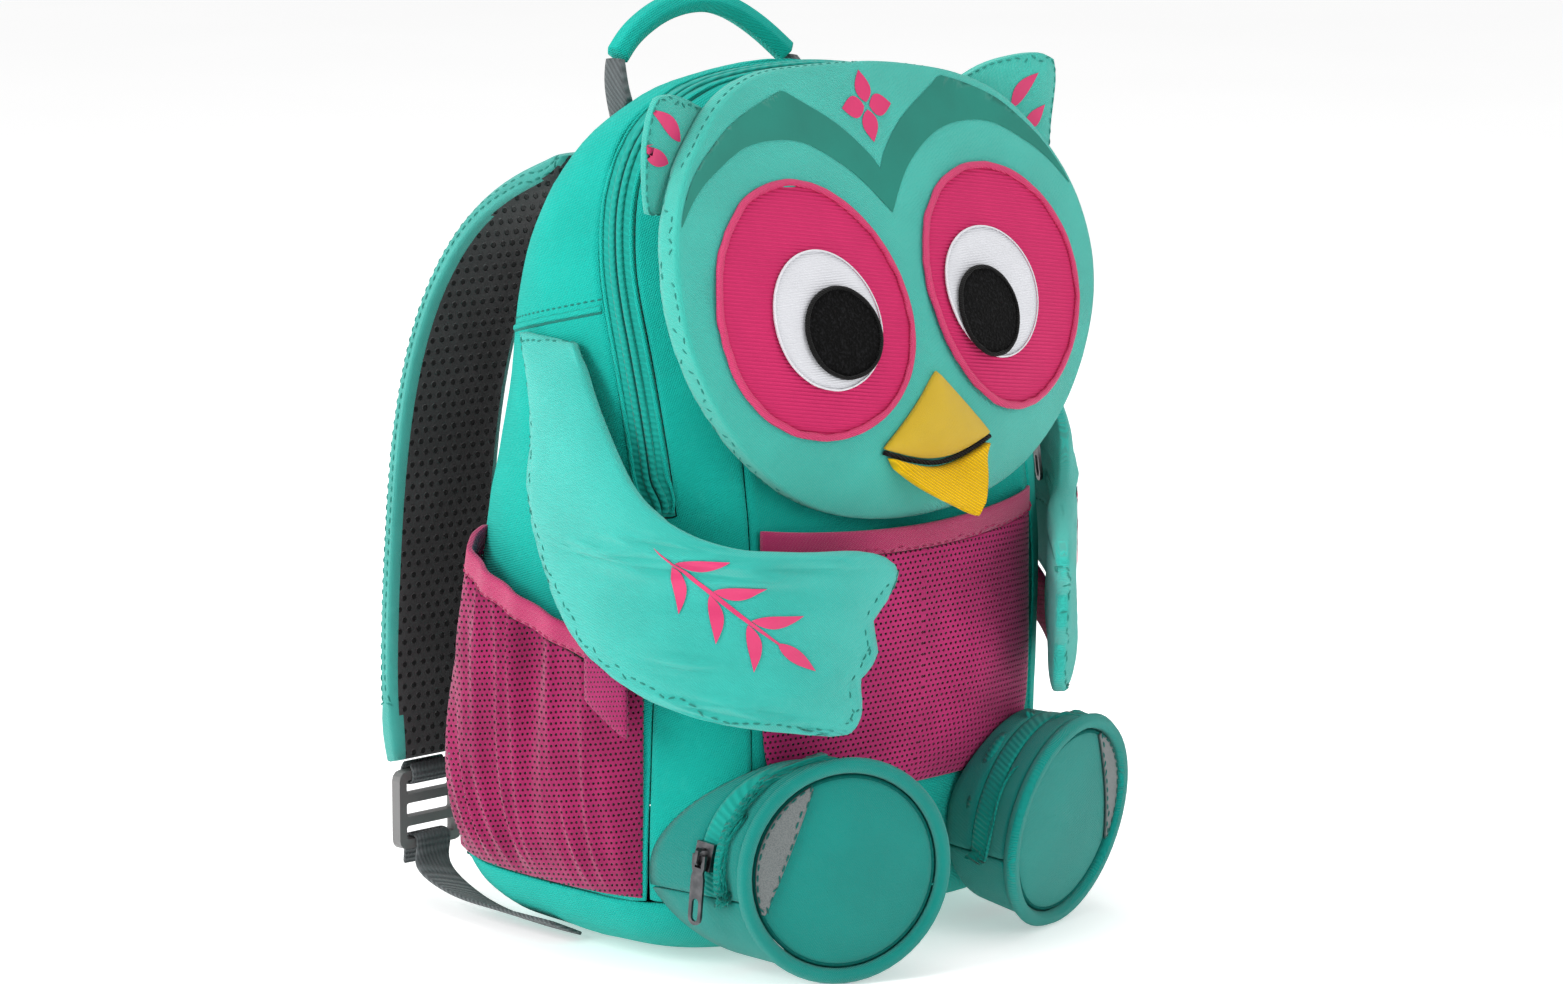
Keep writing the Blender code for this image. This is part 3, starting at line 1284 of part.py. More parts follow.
def make_handle(group):
    """Piped grip over the bag with a webbing end down to the rear seam on each side."""
    grip = [Vector((row.side, row.back, BAG_HEIGHT + row.rise)) for row in HANDLE]
    fine = []
    for i in range(len(grip) - 1):
        before, after = grip[max(i - 1, 0)], grip[min(i + 2, len(grip) - 1)]
        for t in spread(0, 1, 4)[:-1]:
            fine.append(0.5 * (2 * grip[i] + (grip[i + 1] - before) * t
                               + (2 * before - 5 * grip[i] + 4 * grip[i + 1] - after) * t ** 2
                               + (3 * grip[i] - before - 3 * grip[i + 1] + after) * t ** 3))
    fine.append(grip[-1])
    tube("top_handle", fine, HANDLE_DIAMETER, group, material("handle_cloth", TEAL, 0.7), sides=1)
    grey = material("webbing", MID_GREY, 0.8)
    for (side, name), tip, after in zip(SIDES, (grip[0], grip[-1]), (grip[1], grip[-2])):
        start = tip + (tip - after).normalized() * SEAM_GAP * 5
        edges = [gusset_top(side * HANDLE_FOOT, across) + Vector((0, 0, HANDLE_LIFT))
                 for across in HANDLE_SEAM]
        middle = start.lerp((edges[0] + edges[1]) / 2, 0.5) + Vector((side * HANDLE_FLARE, 0, 0))
        rows = []
        for point, width in ((start, HANDLE_DIAMETER * 0.8), (middle, HANDLE_DIAMETER * 1.2)):
            half = Vector((0, width / 2, 0))
            rows.append((point - half, point + half, Vector((side, 0, 0))))
        rows.append((*edges, Vector((side, 0, 0))))
        ribbon(f"handle_end_{name}", rows, HANDLE_END_THICK, group, grey)


def gusset_top(x, across):
    """Point on the arch of the gusset at a distance from the centre line."""
    line = [gusset_point(u, across, 0) for u in spread(-ARCH_PART, ARCH_PART, 221)]
    return min(line, key=lambda point: abs(point.x - x))


SIDES = ((-1, "left"), (1, "right"))


def build():
    clear_scene()
    group = make_collection("owl_backpack")
    make_gussets(group)
    make_panels(group)
    make_base(group)
    make_front_pocket(group)
    make_side_pockets(group)
    make_face(group)
    make_ears(group)
    make_eyes(group)
    make_beak(group)
    make_wings(group)
    make_feet(group)
    make_main_slider(group)
    make_straps(group)
    make_handle(group)


build()
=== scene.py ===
"""Looks of an owl-shaped child's backpack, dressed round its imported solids, in metres, +Z up."""

from math import atan2, cos, exp, pi, radians, sin

import bmesh
import bpy
from mathutils import Matrix, Vector, noise
from mathutils.bvhtree import BVHTree
from mathutils.kdtree import KDTree


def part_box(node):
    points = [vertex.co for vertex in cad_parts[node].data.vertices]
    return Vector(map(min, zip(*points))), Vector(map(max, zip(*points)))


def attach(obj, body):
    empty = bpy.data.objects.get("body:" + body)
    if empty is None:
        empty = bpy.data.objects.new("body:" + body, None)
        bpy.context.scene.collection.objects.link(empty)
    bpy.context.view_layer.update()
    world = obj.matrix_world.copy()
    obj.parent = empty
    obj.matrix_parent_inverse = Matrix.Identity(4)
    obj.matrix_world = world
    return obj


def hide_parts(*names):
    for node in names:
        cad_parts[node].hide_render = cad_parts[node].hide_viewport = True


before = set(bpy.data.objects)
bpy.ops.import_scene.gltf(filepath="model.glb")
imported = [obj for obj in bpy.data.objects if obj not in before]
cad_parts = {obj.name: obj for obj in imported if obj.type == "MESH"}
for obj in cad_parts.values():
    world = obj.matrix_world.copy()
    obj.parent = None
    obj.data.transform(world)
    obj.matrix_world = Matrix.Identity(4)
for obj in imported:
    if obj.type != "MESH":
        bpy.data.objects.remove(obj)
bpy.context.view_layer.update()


# Camera, lights and floor
# The bag stands on a white sweep, seen from its right front corner and a little above, under a
# broad soft light from the left and above with a weak fill from the right.
EYE = Vector((-1.28116, -1.28964, 0.45092))
HEADING = radians(45.0)
DIP = radians(9.6)
SENSOR = 36.0
FOCAL_PIXELS = 5500
IMAGE_WIDTH = 1563

scene = bpy.context.scene
camera_data = bpy.data.cameras.new("camera")
camera_data.sensor_width = SENSOR
camera_data.lens = SENSOR * FOCAL_PIXELS / IMAGE_WIDTH
camera_data.clip_end = 20
camera = bpy.data.objects.new("camera", camera_data)
camera.location = EYE
camera.rotation_euler = (pi / 2 - DIP, 0, -HEADING)
scene.collection.objects.link(camera)
scene.camera = camera
scene.view_settings.view_transform = "Standard"


def area_light(name, place, target, size, watts):
    data = bpy.data.lights.new(name, "AREA")
    data.size = size
    data.energy = watts
    light = bpy.data.objects.new(name, data)
    light.location = place
    light.rotation_euler = (Vector(place) - Vector(target)).to_track_quat("Z", "Y").to_euler()
    scene.collection.objects.link(light)


area_light("key", (-1.75, 0.40, 0.95), (0, 0, 0.15), 1.0, 27)
area_light("top", (0.0, 0.1, 1.7), (0, 0, 0.15), 1.1, 12)
area_light("fill", (0.1, -1.9, 0.8), (0, 0, 0.14), 1.2, 10)
world = bpy.data.worlds.new("studio")
world.use_nodes = True
world.node_tree.nodes["Background"].inputs["Color"].default_value = (1, 1, 1, 1)
world.node_tree.nodes["Background"].inputs["Strength"].default_value = 0.58
scene.world = world


# Material tools
class Wire:
    """Socket of a shader tree; sums of wires and numbers become Math nodes."""

    def __init__(self, tree, socket):
        self.tree = tree
        self.socket = socket

    def put(self, target, value):
        if isinstance(value, Wire):
            self.tree.links.new(value.socket, target)
        else:
            target.default_value = value

    def node(self, kind, settings=None, **inputs):
        """Adds a node, sets its settings and then its inputs, and gives its first output."""
        made = self.tree.nodes.new(kind)
        for key, value in (settings or {}).items():
            setattr(made, key, value)
        for key, value in inputs.items():
            self.put(made.inputs[key.replace("_", " ")], value)
        return Wire(self.tree, made.outputs[0])

    def math(self, operation, *values):
        made = self.tree.nodes.new("ShaderNodeMath")
        made.operation = operation
        for target, value in zip(made.inputs, values):
            self.put(target, value)
        return Wire(self.tree, made.outputs[0])

    def __add__(self, other):
        return self.math("ADD", self, other)

    def __radd__(self, other):
        return self.math("ADD", other, self)

    def __sub__(self, other):
        return self.math("SUBTRACT", self, other)

    def __rsub__(self, other):
        return self.math("SUBTRACT", other, self)

    def __mul__(self, other):
        return self.math("MULTIPLY", self, other)

    def __rmul__(self, other):
        return self.math("MULTIPLY", other, self)

    def __truediv__(self, other):
        return self.math("DIVIDE", self, other)

    def __gt__(self, other):
        return self.math("GREATER_THAN", self, other)

    def sine(self):
        return self.math("SINE", self)

    def root(self):
        return self.math("SQRT", self)

    def size(self):
        return self.math("ABSOLUTE", self)

    def fract(self):
        return self.math("FRACT", self)

    def to(self, low, high):
        """Share of the way from low to high, held between 0 and 1."""
        made = self.tree.nodes.new("ShaderNodeMapRange")
        made.interpolation_type = "SMOOTHSTEP"
        self.put(made.inputs["Value"], self)
        self.put(made.inputs["From Min"], low)
        self.put(made.inputs["From Max"], high)
        return Wire(self.tree, made.outputs[0])

    def blend(self, a, b):
        """Colour a where this is 0 and colour b where it is 1."""
        made = self.tree.nodes.new("ShaderNodeMix")
        made.data_type = "RGBA"
        self.put(made.inputs[0], self)
        for target, value in zip(made.inputs[6:8], (a, b)):
            self.put(target, value if isinstance(value, Wire) else (*value, 1))
        return Wire(self.tree, made.outputs[2])


CLOTH_SPECULAR = 0.12
HARD_SPECULAR = 0.5


def shader(name, roughness=0.8, sheen=0.0, metallic=0.0):
    """New material with its Principled node, and the object coordinates as x, y and z."""
    made = bpy.data.materials.new(name)
    made.use_nodes = True
    tree = made.node_tree
    main = tree.nodes["Principled BSDF"]
    main.inputs["Roughness"].default_value = roughness
    hard = metallic or roughness < 0.5
    main.inputs["Specular IOR Level"].default_value = HARD_SPECULAR if hard else CLOTH_SPECULAR
    main.inputs["Sheen Weight"].default_value = sheen
    main.inputs["Sheen Roughness"].default_value = 0.45
    main.inputs["Metallic"].default_value = metallic
    place = tree.nodes.new("ShaderNodeTexCoord").outputs["Object"]
    split = tree.nodes.new("ShaderNodeSeparateXYZ")
    tree.links.new(place, split.inputs[0])
    x, y, z = (Wire(tree, out) for out in split.outputs)
    return made, main, Wire(tree, place), (x, y, z)


def finish_shader(main, colour=None, height=None, depth=0.0003, roughness=None, alpha=None):
    """Connects colour, bump and the rest of what varies over a surface."""
    wire = next(w for w in (colour, height, roughness, alpha) if isinstance(w, Wire))
    if colour is not None:
        wire.put(main.inputs["Base Color"], colour)
    if roughness is not None:
        wire.put(main.inputs["Roughness"], roughness)
    if alpha is not None:
        wire.put(main.inputs["Alpha"], alpha)
    if height is not None:
        bump = wire.node("ShaderNodeBump", Distance=depth, Strength=1.0, Height=height)
        wire.put(main.inputs["Normal"], bump)


def spots(place, scale, detail=2.0):
    return place.node("ShaderNodeTexNoise", Vector=place, Scale=scale, Detail=detail)


def dim(colour, share):
    return tuple(c * share for c in colour)


def canvas(name, colour, thread=0.00115, roughness=0.78, sheen=0.06, wear=0.10):
    """Plain-woven polyester: warp and weft at right angles, soft mottle and paler rubbed spots."""
    made, main, place, (x, y, z) = shader(name, roughness, sheen)
    u = (x.size() + y + z * 0.45) * (2 * pi / thread)
    v = (z - (x.size() + y) * 0.45) * (2 * pi / thread)
    weave = u.sine() * v.sine() * 0.5 + 0.5
    fibre = spots(place, 2600, 1.0)
    height = weave * 0.75 + fibre * 0.5
    mottle = spots(place, 38, 3.0).to(0.3, 0.75)
    rubbed = spots(place, 190, 4.0).to(0.52, 0.78) * wear
    base = mottle.blend(dim(colour, 0.93), dim(colour, 1.05))
    base = ((1 - weave) * 0.42).blend(base, dim(colour, 0.62))
    base = rubbed.blend(base, tuple(min(c * 1.15 + 0.05, 1) for c in colour))
    rough = roughness + (fibre - 0.5) * 0.15
    finish_shader(main, base, height, 0.00040, rough)
    return made


def dress(obj, slot, finish, *nodes):
    """Gives a piece its material and place in the object, in place of the named solids."""
    obj.data.materials.clear()
    obj.data.materials.append(finish)
    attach(obj, "bag")
    if nodes:
        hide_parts(*nodes)
    return obj


floor_paint, floor_main, floor_place, _ = shader("sweep_paper", 0.9)
finish_shader(floor_main, spots(floor_place, 3, 2).to(0, 1).blend((0.90, 0.90, 0.90),
                                                                  (0.93, 0.93, 0.93)))
floor_main.inputs["Emission Color"].default_value = (1, 1, 1, 1)
floor_main.inputs["Emission Strength"].default_value = 0.40
bpy.ops.mesh.primitive_plane_add(size=12)
floor = bpy.context.object
floor.name = "floor"
floor.data.materials.append(floor_paint)


# Bag shell
# A deep bag of stiff teal canvas in panels: a front strip and a rear strip round a zip that runs
# over the top, a front panel, a padded back panel and a base turned up at its edge.
TEAL = (0.005, 0.450, 0.375)
HALF_WIDE, HALF_DEEP, HALF_TALL = 0.095, 0.060, 0.145
MIDDLE = Vector((0, 0, HALF_TALL))
WELD = 1e-5
RIM_CREASE = 0.85
SHARP = radians(50)


def quads_of(node):
    """Welded copy of a solid's mesh, with its triangles paired back into quads."""
    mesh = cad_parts[node].data.copy()
    shape = bmesh.new()
    shape.from_mesh(mesh)
    bmesh.ops.remove_doubles(shape, verts=shape.verts, dist=WELD)
    bmesh.ops.join_triangles(shape, faces=shape.faces, angle_face_threshold=radians(30),
                             angle_shape_threshold=radians(80))
    for face in shape.faces:
        face.smooth = True
    crease = shape.edges.layers.float.new("crease_edge")
    for edge in shape.edges:
        if len(edge.link_faces) == 2 and edge.calc_face_angle(0) > radians(48):
            edge[crease] = RIM_CREASE
    shape.to_mesh(mesh)
    shape.free()
    return mesh


def applied(obj):
    """Makes an object's modifiers real."""
    graph = bpy.context.evaluated_depsgraph_get()
    mesh = bpy.data.meshes.new_from_object(obj.evaluated_get(graph))
    obj.modifiers.clear()
    obj.data = mesh
    return obj


def smoothed(name, node, levels=2):
    """Subdivided copy of a solid."""
    obj = bpy.data.objects.new(name, quads_of(node))
    scene.collection.objects.link(obj)
    change = obj.modifiers.new("smooth", "SUBSURF")
    change.levels = change.render_levels = levels
    return applied(obj)


def out_of_bag(point):
    """Direction straight out of the bag's rounded body at a point."""
    x, y = point.x / HALF_WIDE, (point.y - 0.002) / HALF_DEEP
    z = (point.z - HALF_TALL) / HALF_TALL
    return Vector((x ** 3, y ** 3, 0.55 * z ** 3)).normalized()


DENT_SPAN = 0.045
FOLD_SPAN = 0.030
DENT_SHIFT = Vector((3.1, 6.2, 9.3))


def ease(obj, depth, fold):
    """Soft dents and finer slanting folds over a piece of the bag's body."""
    for vertex in obj.data.vertices:
        co = vertex.co
        amount = depth * noise.noise(co / DENT_SPAN + DENT_SHIFT)
        slant = Vector((co.x + co.z * 0.5, co.y - co.z * 0.6, co.z * 0.35))
        amount += fold * (0.5 - abs(noise.noise(slant / FOLD_SPAN + DENT_SHIFT)))
        vertex.co = co + out_of_bag(co) * amount


def sharp_loops(node):
    """Lines of points along a solid's sharp edges, longest first."""
    shape = bmesh.new()
    shape.from_mesh(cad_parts[node].data)
    bmesh.ops.remove_doubles(shape, verts=shape.verts, dist=WELD)
    sharp = [e for e in shape.edges if len(e.link_faces) == 2 and e.calc_face_angle(0) > SHARP]
    count = {}
    for edge in sharp:
        for vertex in edge.verts:
            count[vertex] = count.get(vertex, 0) + 1
    sharp = [e for e in sharp if not all(count[v] > 2 for v in e.verts)]
    beside = {}
    for edge in sharp:
        a, b = edge.verts
        beside.setdefault(a, []).append(b)
        beside.setdefault(b, []).append(a)
    loops, seen = [], set()
    for start in sorted(beside, key=lambda v: (len(beside[v]) != 1, v.index)):
        if start in seen:
            continue
        loop, here = [], start
        while here is not None:
            seen.add(here)
            loop.append(here.co.copy())
            here = next((v for v in beside[here] if v not in seen), None)
        loops.append(loop)
    shape.free()
    length = lambda loop: sum((a - b).length for a, b in zip(loop, loop[1:]))
    return sorted(loops, key=length, reverse=True)


def far_loop(node, centre=MIDDLE):
    """Of a sheet's two rim loops, the one further from a centre."""
    return max(sharp_loops(node)[:2],
               key=lambda loop: sum((p - centre).length for p in loop) / len(loop))


def even(points, spacing, closed=True):
    """Points at an even spacing on a smooth curve through the given ones."""
    count = len(points)
    fine = []
    for i in range(count if closed else count - 1):
        if closed:
            p = [points[(i + k) % count] for k in (-1, 0, 1, 2)]
        else:
            p = [points[min(max(i + k, 0), count - 1)] for k in (-1, 0, 1, 2)]
        for step in range(8):
            t = step / 8
            fine.append(0.5 * (2 * p[1] + (p[2] - p[0]) * t
                               + (2 * p[0] - 5 * p[1] + 4 * p[2] - p[3]) * t * t
                               + (3 * p[1] - p[0] - 3 * p[2] + p[3]) * t ** 3))
    fine.append(fine[0] if closed else points[-1])
    reach = [0.0]
    for a, b in zip(fine, fine[1:]):
        reach.append(reach[-1] + (b - a).length)
    number = max(int(reach[-1] / spacing), 3)
    made, i = [], 0
    for k in range(number if closed else number + 1):
        goal = reach[-1] * k / number
        while i < len(fine) - 2 and reach[i + 1] < goal:
            i += 1
        step = reach[i + 1] - reach[i]
        made.append(fine[i].lerp(fine[i + 1], (goal - reach[i]) / step if step else 0))
    return made


def tree_of(obj):
    shape = bmesh.new()
    shape.from_mesh(obj.data)
    shape.transform(obj.matrix_world)
    tree = BVHTree.FromBMesh(shape)
    shape.free()
    return tree


def laid(points, tree, inset=0.0, lift=0.0, centre=None):
    """Moves a closed line in from an edge by inset, towards centre, and lays it on a surface."""
    count = len(points)
    centre = centre or sum(points, Vector()) / count
    inward = []
    for i, point in enumerate(points):
        run = points[(i + 1) % count] - points[i - 1]
        inward.append(tree.find_nearest(point)[1].cross(run.normalized()).normalized())
    votes = sum(1 if way.dot(centre - point) > 0 else -1 for way, point in zip(inward, points))
    made = []
    for way, point in zip(inward, points):
        spot, normal, _, _ = tree.find_nearest(point + way * inset * (1 if votes > 0 else -1))
        made.append((spot + normal * lift, normal))
    return made


def calmed(line, rounds=3, closed=True):
    """Evens out the places and normals along a line laid on a faceted surface."""
    for _ in range(rounds):
        made = []
        for i, (point, normal) in enumerate(line):
            if not closed and i in (0, len(line) - 1):
                made.append((point, normal))
                continue
            before, after = line[i - 1], line[(i + 1) % len(line)]
            made.append((before[0] * 0.25 + point * 0.5 + after[0] * 0.25,
                         (before[1] + normal + after[1]).normalized()))
        line = made
    return line


def mesh_object(name, points, faces):
    mesh = bpy.data.meshes.new(name)
    mesh.from_pydata(points, [], faces)
    mesh.shade_smooth()
    obj = bpy.data.objects.new(name, mesh)
    scene.collection.objects.link(obj)
    return obj


def ring_faces(rings, sides, closed=False):
    faces = []
    for i in range(rings if closed else rings - 1):
        j = (i + 1) % rings
        for k in range(sides):
            m = (k + 1) % sides
            faces.append((i * sides + k, i * sides + m, j * sides + m, j * sides + k))
    if not closed:
        faces.append(tuple(range(sides))[::-1])
        faces.append(tuple(range((rings - 1) * sides, rings * sides)))
    return faces


def welt(name, line, width, height, closed=True, sides=6):
    """Rounded bead of the given width and height along a line of (point, normal)."""
    points, count = [], len(line)
    for i, (point, normal) in enumerate(line):
        before = line[i - 1][0] if closed or i else point
        after = line[(i + 1) % count][0] if closed or i < count - 1 else point
        across = (after - before).cross(normal).normalized()
        for k in range(sides):
            a = 2 * pi * k / sides
            points.append(point + across * cos(a) * width / 2 + normal * sin(a) * height / 2)
    return mesh_object(name, points, ring_faces(count, sides, closed))


STITCH_LONG = 0.0026
STITCH_GAP = 0.0012
THREAD = 0.0006


def stitches(name, line, closed=True):
    """Row of thread stitches, each a short bead that dips into the cloth at both ends."""
    points, faces = [], []
    whole = sum((b[0] - a[0]).length for a, b in zip(line, line[1:]))
    every = max(round((STITCH_LONG + STITCH_GAP) * len(line) / whole), 2)
    reach = STITCH_LONG / 2
    for i in range(every // 2, len(line) - (0 if closed else every), every):
        point, normal = line[i]
        run = (line[(i + 1) % len(line)][0] - line[i - 1][0]).normalized()
        across = run.cross(normal).normalized()
        start = len(points)
        for t, size in ((-1, 0.35), (-0.6, 1), (0, 1.1), (0.6, 1), (1, 0.35)):
            middle = point + run * reach * t - normal * THREAD * 0.55 * t * t
            for k in range(5):
                a = 2 * pi * k / 5
                points.append(middle + across * cos(a) * THREAD / 2 * size
                              + normal * sin(a) * THREAD / 2 * size)
        faces += [tuple(start + v for v in face) for face in ring_faces(5, 5)]
    return mesh_object(name, points, faces)


teal_canvas = canvas("body_cloth_look", TEAL)
teal_thread_and_shadow = canvas("teal_thread_and_shadow", dim(TEAL, 0.62), 0.0004, 0.6, 0.1, 0.0)
shell = {}
for node, depth, fold in (("gusset_front", 0.0010, 0.0008), ("gusset_rear", 0.0022, 0.0016),
                          ("front_panel", 0.0010, 0.0), ("base_panel", 0.0012, 0.0016)):
    piece = smoothed(f"{node}_cloth", node)
    ease(piece, depth, fold)
    shell[node] = dress(piece, "body_cloth", teal_canvas, node)


SEAM_SPACING = 0.0009


def seam(name, node, target, slot, finish, inset=0.0022, centre=None):
    """Row of stitches just inside the rim of a piece."""
    line = laid(even(far_loop(node), SEAM_SPACING), tree_of(target), inset, THREAD * 0.25, centre)
    dress(stitches(name, line), slot, finish)


# The yoke seam slants back and down over each side; (y, z) of its front end and its run from there
YOKE_FRONT = (-0.024, 0.2172)
YOKE_RUN = (0.068, -0.0158)
YOKE_STEPS = 69
shell_tree = tree_of(shell["gusset_rear"])
for side, sign in (("left", -1), ("right", 1)):
    rows = {"fold": [], "stitches": []}
    for number in range(YOKE_STEPS + 1):
        share = number / YOKE_STEPS
        y, z = (start + run * share for start, run in zip(YOKE_FRONT, YOKE_RUN))
        for word, above in (("fold", 0), ("stitches", 0.0030)):
            start = Vector((sign * 0.2, y, z + above))
            hit, normal, _, _ = shell_tree.ray_cast(start, Vector((-sign, 0, 0)))
            if hit is not None:
                rows[word].append((hit, normal))
    fold = calmed(rows["fold"], 4, False)
    dress(welt(f"yoke_fold_{side}", fold, 0.0022, 0.0016, False), "body_cloth", teal_canvas)
    # Under each fold lies a thin bead in the dark thread's colour: a painted shadow line below the
    # fold.
    under = [(point - Vector((0, 0, 0.0013)), normal) for point, normal in fold]
    dress(welt(f"yoke_shadow_{side}", under, 0.0009, 0.0007, False), "body_cloth", teal_thread_and_shadow)
    dress(stitches(f"yoke_stitches_{side}", rows["stitches"], False), "body_cloth", teal_thread_and_shadow)
seam("front_panel_stitches", "front_panel", shell["front_panel"], "body_cloth", teal_thread_and_shadow)
seam("base_stitches", "base_panel", shell["base_panel"], "body_cloth", teal_thread_and_shadow, 0.0045)


# Main zip
# A concealed coil between two tape edges that meet over it, a shade deeper than the canvas; the
# tape's outer edges are folded under the canvas and top-stitched.
ZIP_TEAL = (0.006, 0.330, 0.275)
ZIP_RIB = 0.0019


def covered(name, node, slot, finish, levels=2):
    """Smoothed copy of a solid, dressed in its place."""
    return dress(smoothed(name, node, levels), slot, finish, node)


def long_edges(node, neighbours, spacing, centre, turn):
    """A strip's two long edges, one beside each neighbour, each in the order of turn."""
    trees = [tree_of(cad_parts[name]) for name in neighbours]
    edges = ([], [])
    for point in even(far_loop(node, centre), spacing):
        gaps = [tree.find_nearest(point)[3] for tree in trees]
        edges[0 if gaps[0] < gaps[1] else 1].append(point)
    return [sorted(edge, key=turn) for edge in edges]


def round_bag(point):
    """Angle of a point round the middle of the bag, from low left over the top to low right."""
    return atan2(point.x, point.z - 0.12)


def zip_tape_look(name, colour):
    made, main, place, (x, y, z) = shader(name, 0.62, 0.15)
    rib = ((z + (x.size() - y) * 0.4) * (2 * pi / ZIP_RIB)).sine() * 0.5 + 0.5
    fibre = spots(place, 2400, 1)
    base = rib.blend(dim(colour, 0.86), colour)
    finish_shader(main, base, rib + fibre * 0.4, 0.0003, 0.6 + fibre * 0.1)
    return made


zip_look = zip_tape_look("zip_tape_look", ZIP_TEAL)
# The zip seam's cloth is the zip teal at under a third: painted shade for the gap between the tape
# edges.
zip_gap_shade = canvas("zip_gap_shade_look", dim(ZIP_TEAL, 0.30), 0.0006, 0.7, 0.0, 0.0)
zip_cloth = covered("main_zip_tape", "main_zip", "zip_tape", zip_look)


def zip_lines(name, edges, tree, canvas_look):
    """Two rolled tape edges that meet over a thin dark bead of painted shade in the gap between
    them, and a fold of canvas beside each.
    """
    first, second = edges
    middle = []
    for point in first:
        other = min(second, key=lambda q: (q - point).length)
        middle.append((point + other) / 2)
    middle = even(middle, 0.0012, closed=False)
    reach = (first[len(first) // 2] - second[len(second) // 2]).length

    def offset(share, lift):
        line = []
        for i, point in enumerate(middle):
            run = (middle[min(i + 1, len(middle) - 1)] - middle[max(i - 1, 0)]).normalized()
            _, normal, _, _ = tree.find_nearest(point)
            across = normal.cross(run).normalized()
            spot, normal, _, _ = tree.find_nearest(point + across * reach * share)
            line.append((spot + normal * lift, normal))
        return calmed(line, 6, False)

    for k, share in enumerate((-0.115, 0.115)):
        dress(welt(f"{name}_edge_{k}", offset(share, 0.0003), reach * 0.21, 0.0013, False),
              "zip_tape", zip_look)
        dress(welt(f"{name}_fold_{k}", offset(share * 4.1, 0.0002), 0.0016, 0.0011, False),
              "zip_tape", canvas_look)
    # The thin dark bead where the tape edges meet is painted shade in the gap between them.
    dress(welt(f"{name}_seam", offset(0, 0.0003), 0.0007, 0.0006, False), "zip_tape", zip_gap_shade)


zip_lines("main_zip", long_edges("main_zip", ("gusset_front", "gusset_rear"), 0.002, MIDDLE,
                                 round_bag), tree_of(zip_cloth), teal_canvas)
metal, metal_main, metal_place, _ = shader("zip_metal_look", 0.32, 0, 1.0)
finish_shader(metal_main, spots(metal_place, 240, 3).to(0.3, 0.8).blend(
    (0.075, 0.077, 0.082), (0.16, 0.16, 0.165)), spots(metal_place, 900, 2), 0.00004,
    spots(metal_place, 160, 3) * 0.25 + 0.2)


# Back panel and strap padding
# Thick grey air mesh with staggered oval holes over foam; here it is the whole back, with a
# rolled edge where it meets the canvas.
MESH_GREY = (0.062, 0.062, 0.063)
HOLE_PITCH = 0.0042


def knit(name, colour, pitch, hole, tall=1.0, roughness=0.9, open_share=0.0, depth=0.0007):
    """Knitted mesh with rows of staggered holes, each painted near-black as painted shade inside
    it; open_share is how far a hole is clear.
    """
    made, main, place, (x, y, z) = shader(name, roughness, 0.2)
    u = (x.size() + y) / pitch
    v = (z + y * 0.15) / (pitch * tall)
    odd = (v * 0.5).fract() > 0.5
    a = (u + odd * 0.5).fract() - 0.5
    b = v.fract() - 0.5
    reach = (a * a + b * b).root()
    rim = reach.to(hole * 0.75, hole * 1.2)
    fibre = spots(place, 1900, 2)
    soft = spots(place, 60, 3).to(0.25, 0.8)
    base = soft.blend(dim(colour, 0.85), dim(colour, 1.12))
    # Each hole is painted at a sixth of the mesh's colour, as painted shade inside the hole.
    base = rim.blend(dim(colour, 0.16), base)
    alpha = rim * open_share + (1 - open_share) if open_share else None
    finish_shader(main, base, rim + fibre * 0.3, depth, roughness, alpha)
    return made


air_mesh = knit("spacer_mesh_look", MESH_GREY, HOLE_PITCH, 0.26, 0.9)
back = covered("back_panel_pad", "back_panel", "spacer_mesh", air_mesh)
back_line = laid(even(far_loop("back_panel"), 0.003), tree_of(back), 0.0016, 0.0003)
edge_mesh = knit("mesh_edge_look", (0.190, 0.175, 0.172), HOLE_PITCH, 0.26, 0.9)
dress(welt("back_panel_binding", calmed(back_line), 0.0042, 0.0030), "spacer_mesh", edge_mesh)


# Mesh pockets
# Magenta warp-knit mesh with rows of small holes: one flat pocket in front under a dipping band,
# and one on each side gathered on an elastic band, its folds running to the low rear corner.
MAGENTA = (0.420, 0.020, 0.128)
BAND_PINK = (0.520, 0.032, 0.140)
POCKET_PITCH = 0.0023
pocket_mesh = knit("pocket_mesh_look", MAGENTA, POCKET_PITCH, 0.24, 0.8, 0.72, 0.55, 0.0004)
# The side pockets' mesh is the same magenta darkened to two thirds, as painted shade: for its
# folds and the dark inside behind it, and to even out the stronger light on the bag's sides.
side_mesh_painted_shade = knit("side_mesh_painted_shade_look", dim(MAGENTA, 0.66), POCKET_PITCH, 0.24, 0.8, 0.72, 0.55,
                 0.0004)
band_cloth = canvas("pink_band_look", BAND_PINK, 0.0009, 0.7, 0.3, 0.05)
band_thread = canvas("pink_thread", dim(BAND_PINK, 1.25), 0.0004, 0.6, 0.1, 0.0)


def gathered(obj, side):
    """Slanting folds of a side pocket, deepest under its band and gone at its seams."""
    low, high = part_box(f"side_pocket_{side}")
    sign = -1 if side == "left" else 1
    for vertex in obj.data.vertices:
        co = vertex.co
        up = min(max((co.z - low.z) / (high.z - low.z), 0), 1)
        along_y = (co.y - low.y) / (high.y - low.y)
        edge = min(along_y, 1 - along_y, 0.25) / 0.25
        lean = along_y * 15 + (1 - up) * (4.5 * (along_y - 0.15))
        fold = 0.5 - abs(noise.noise(Vector((lean * 0.55, up * 1.1, 3.7)))) * 2.2
        small = noise.noise(Vector((lean * 1.6, up * 2.0, 9.2)))
        room = min(up / 0.12, 1) * min((1.02 - up) / 0.10, 1)
        vertex.co.x += sign * edge * max(room, 0) * (0.0036 * fold + 0.0010 * small)
    return obj


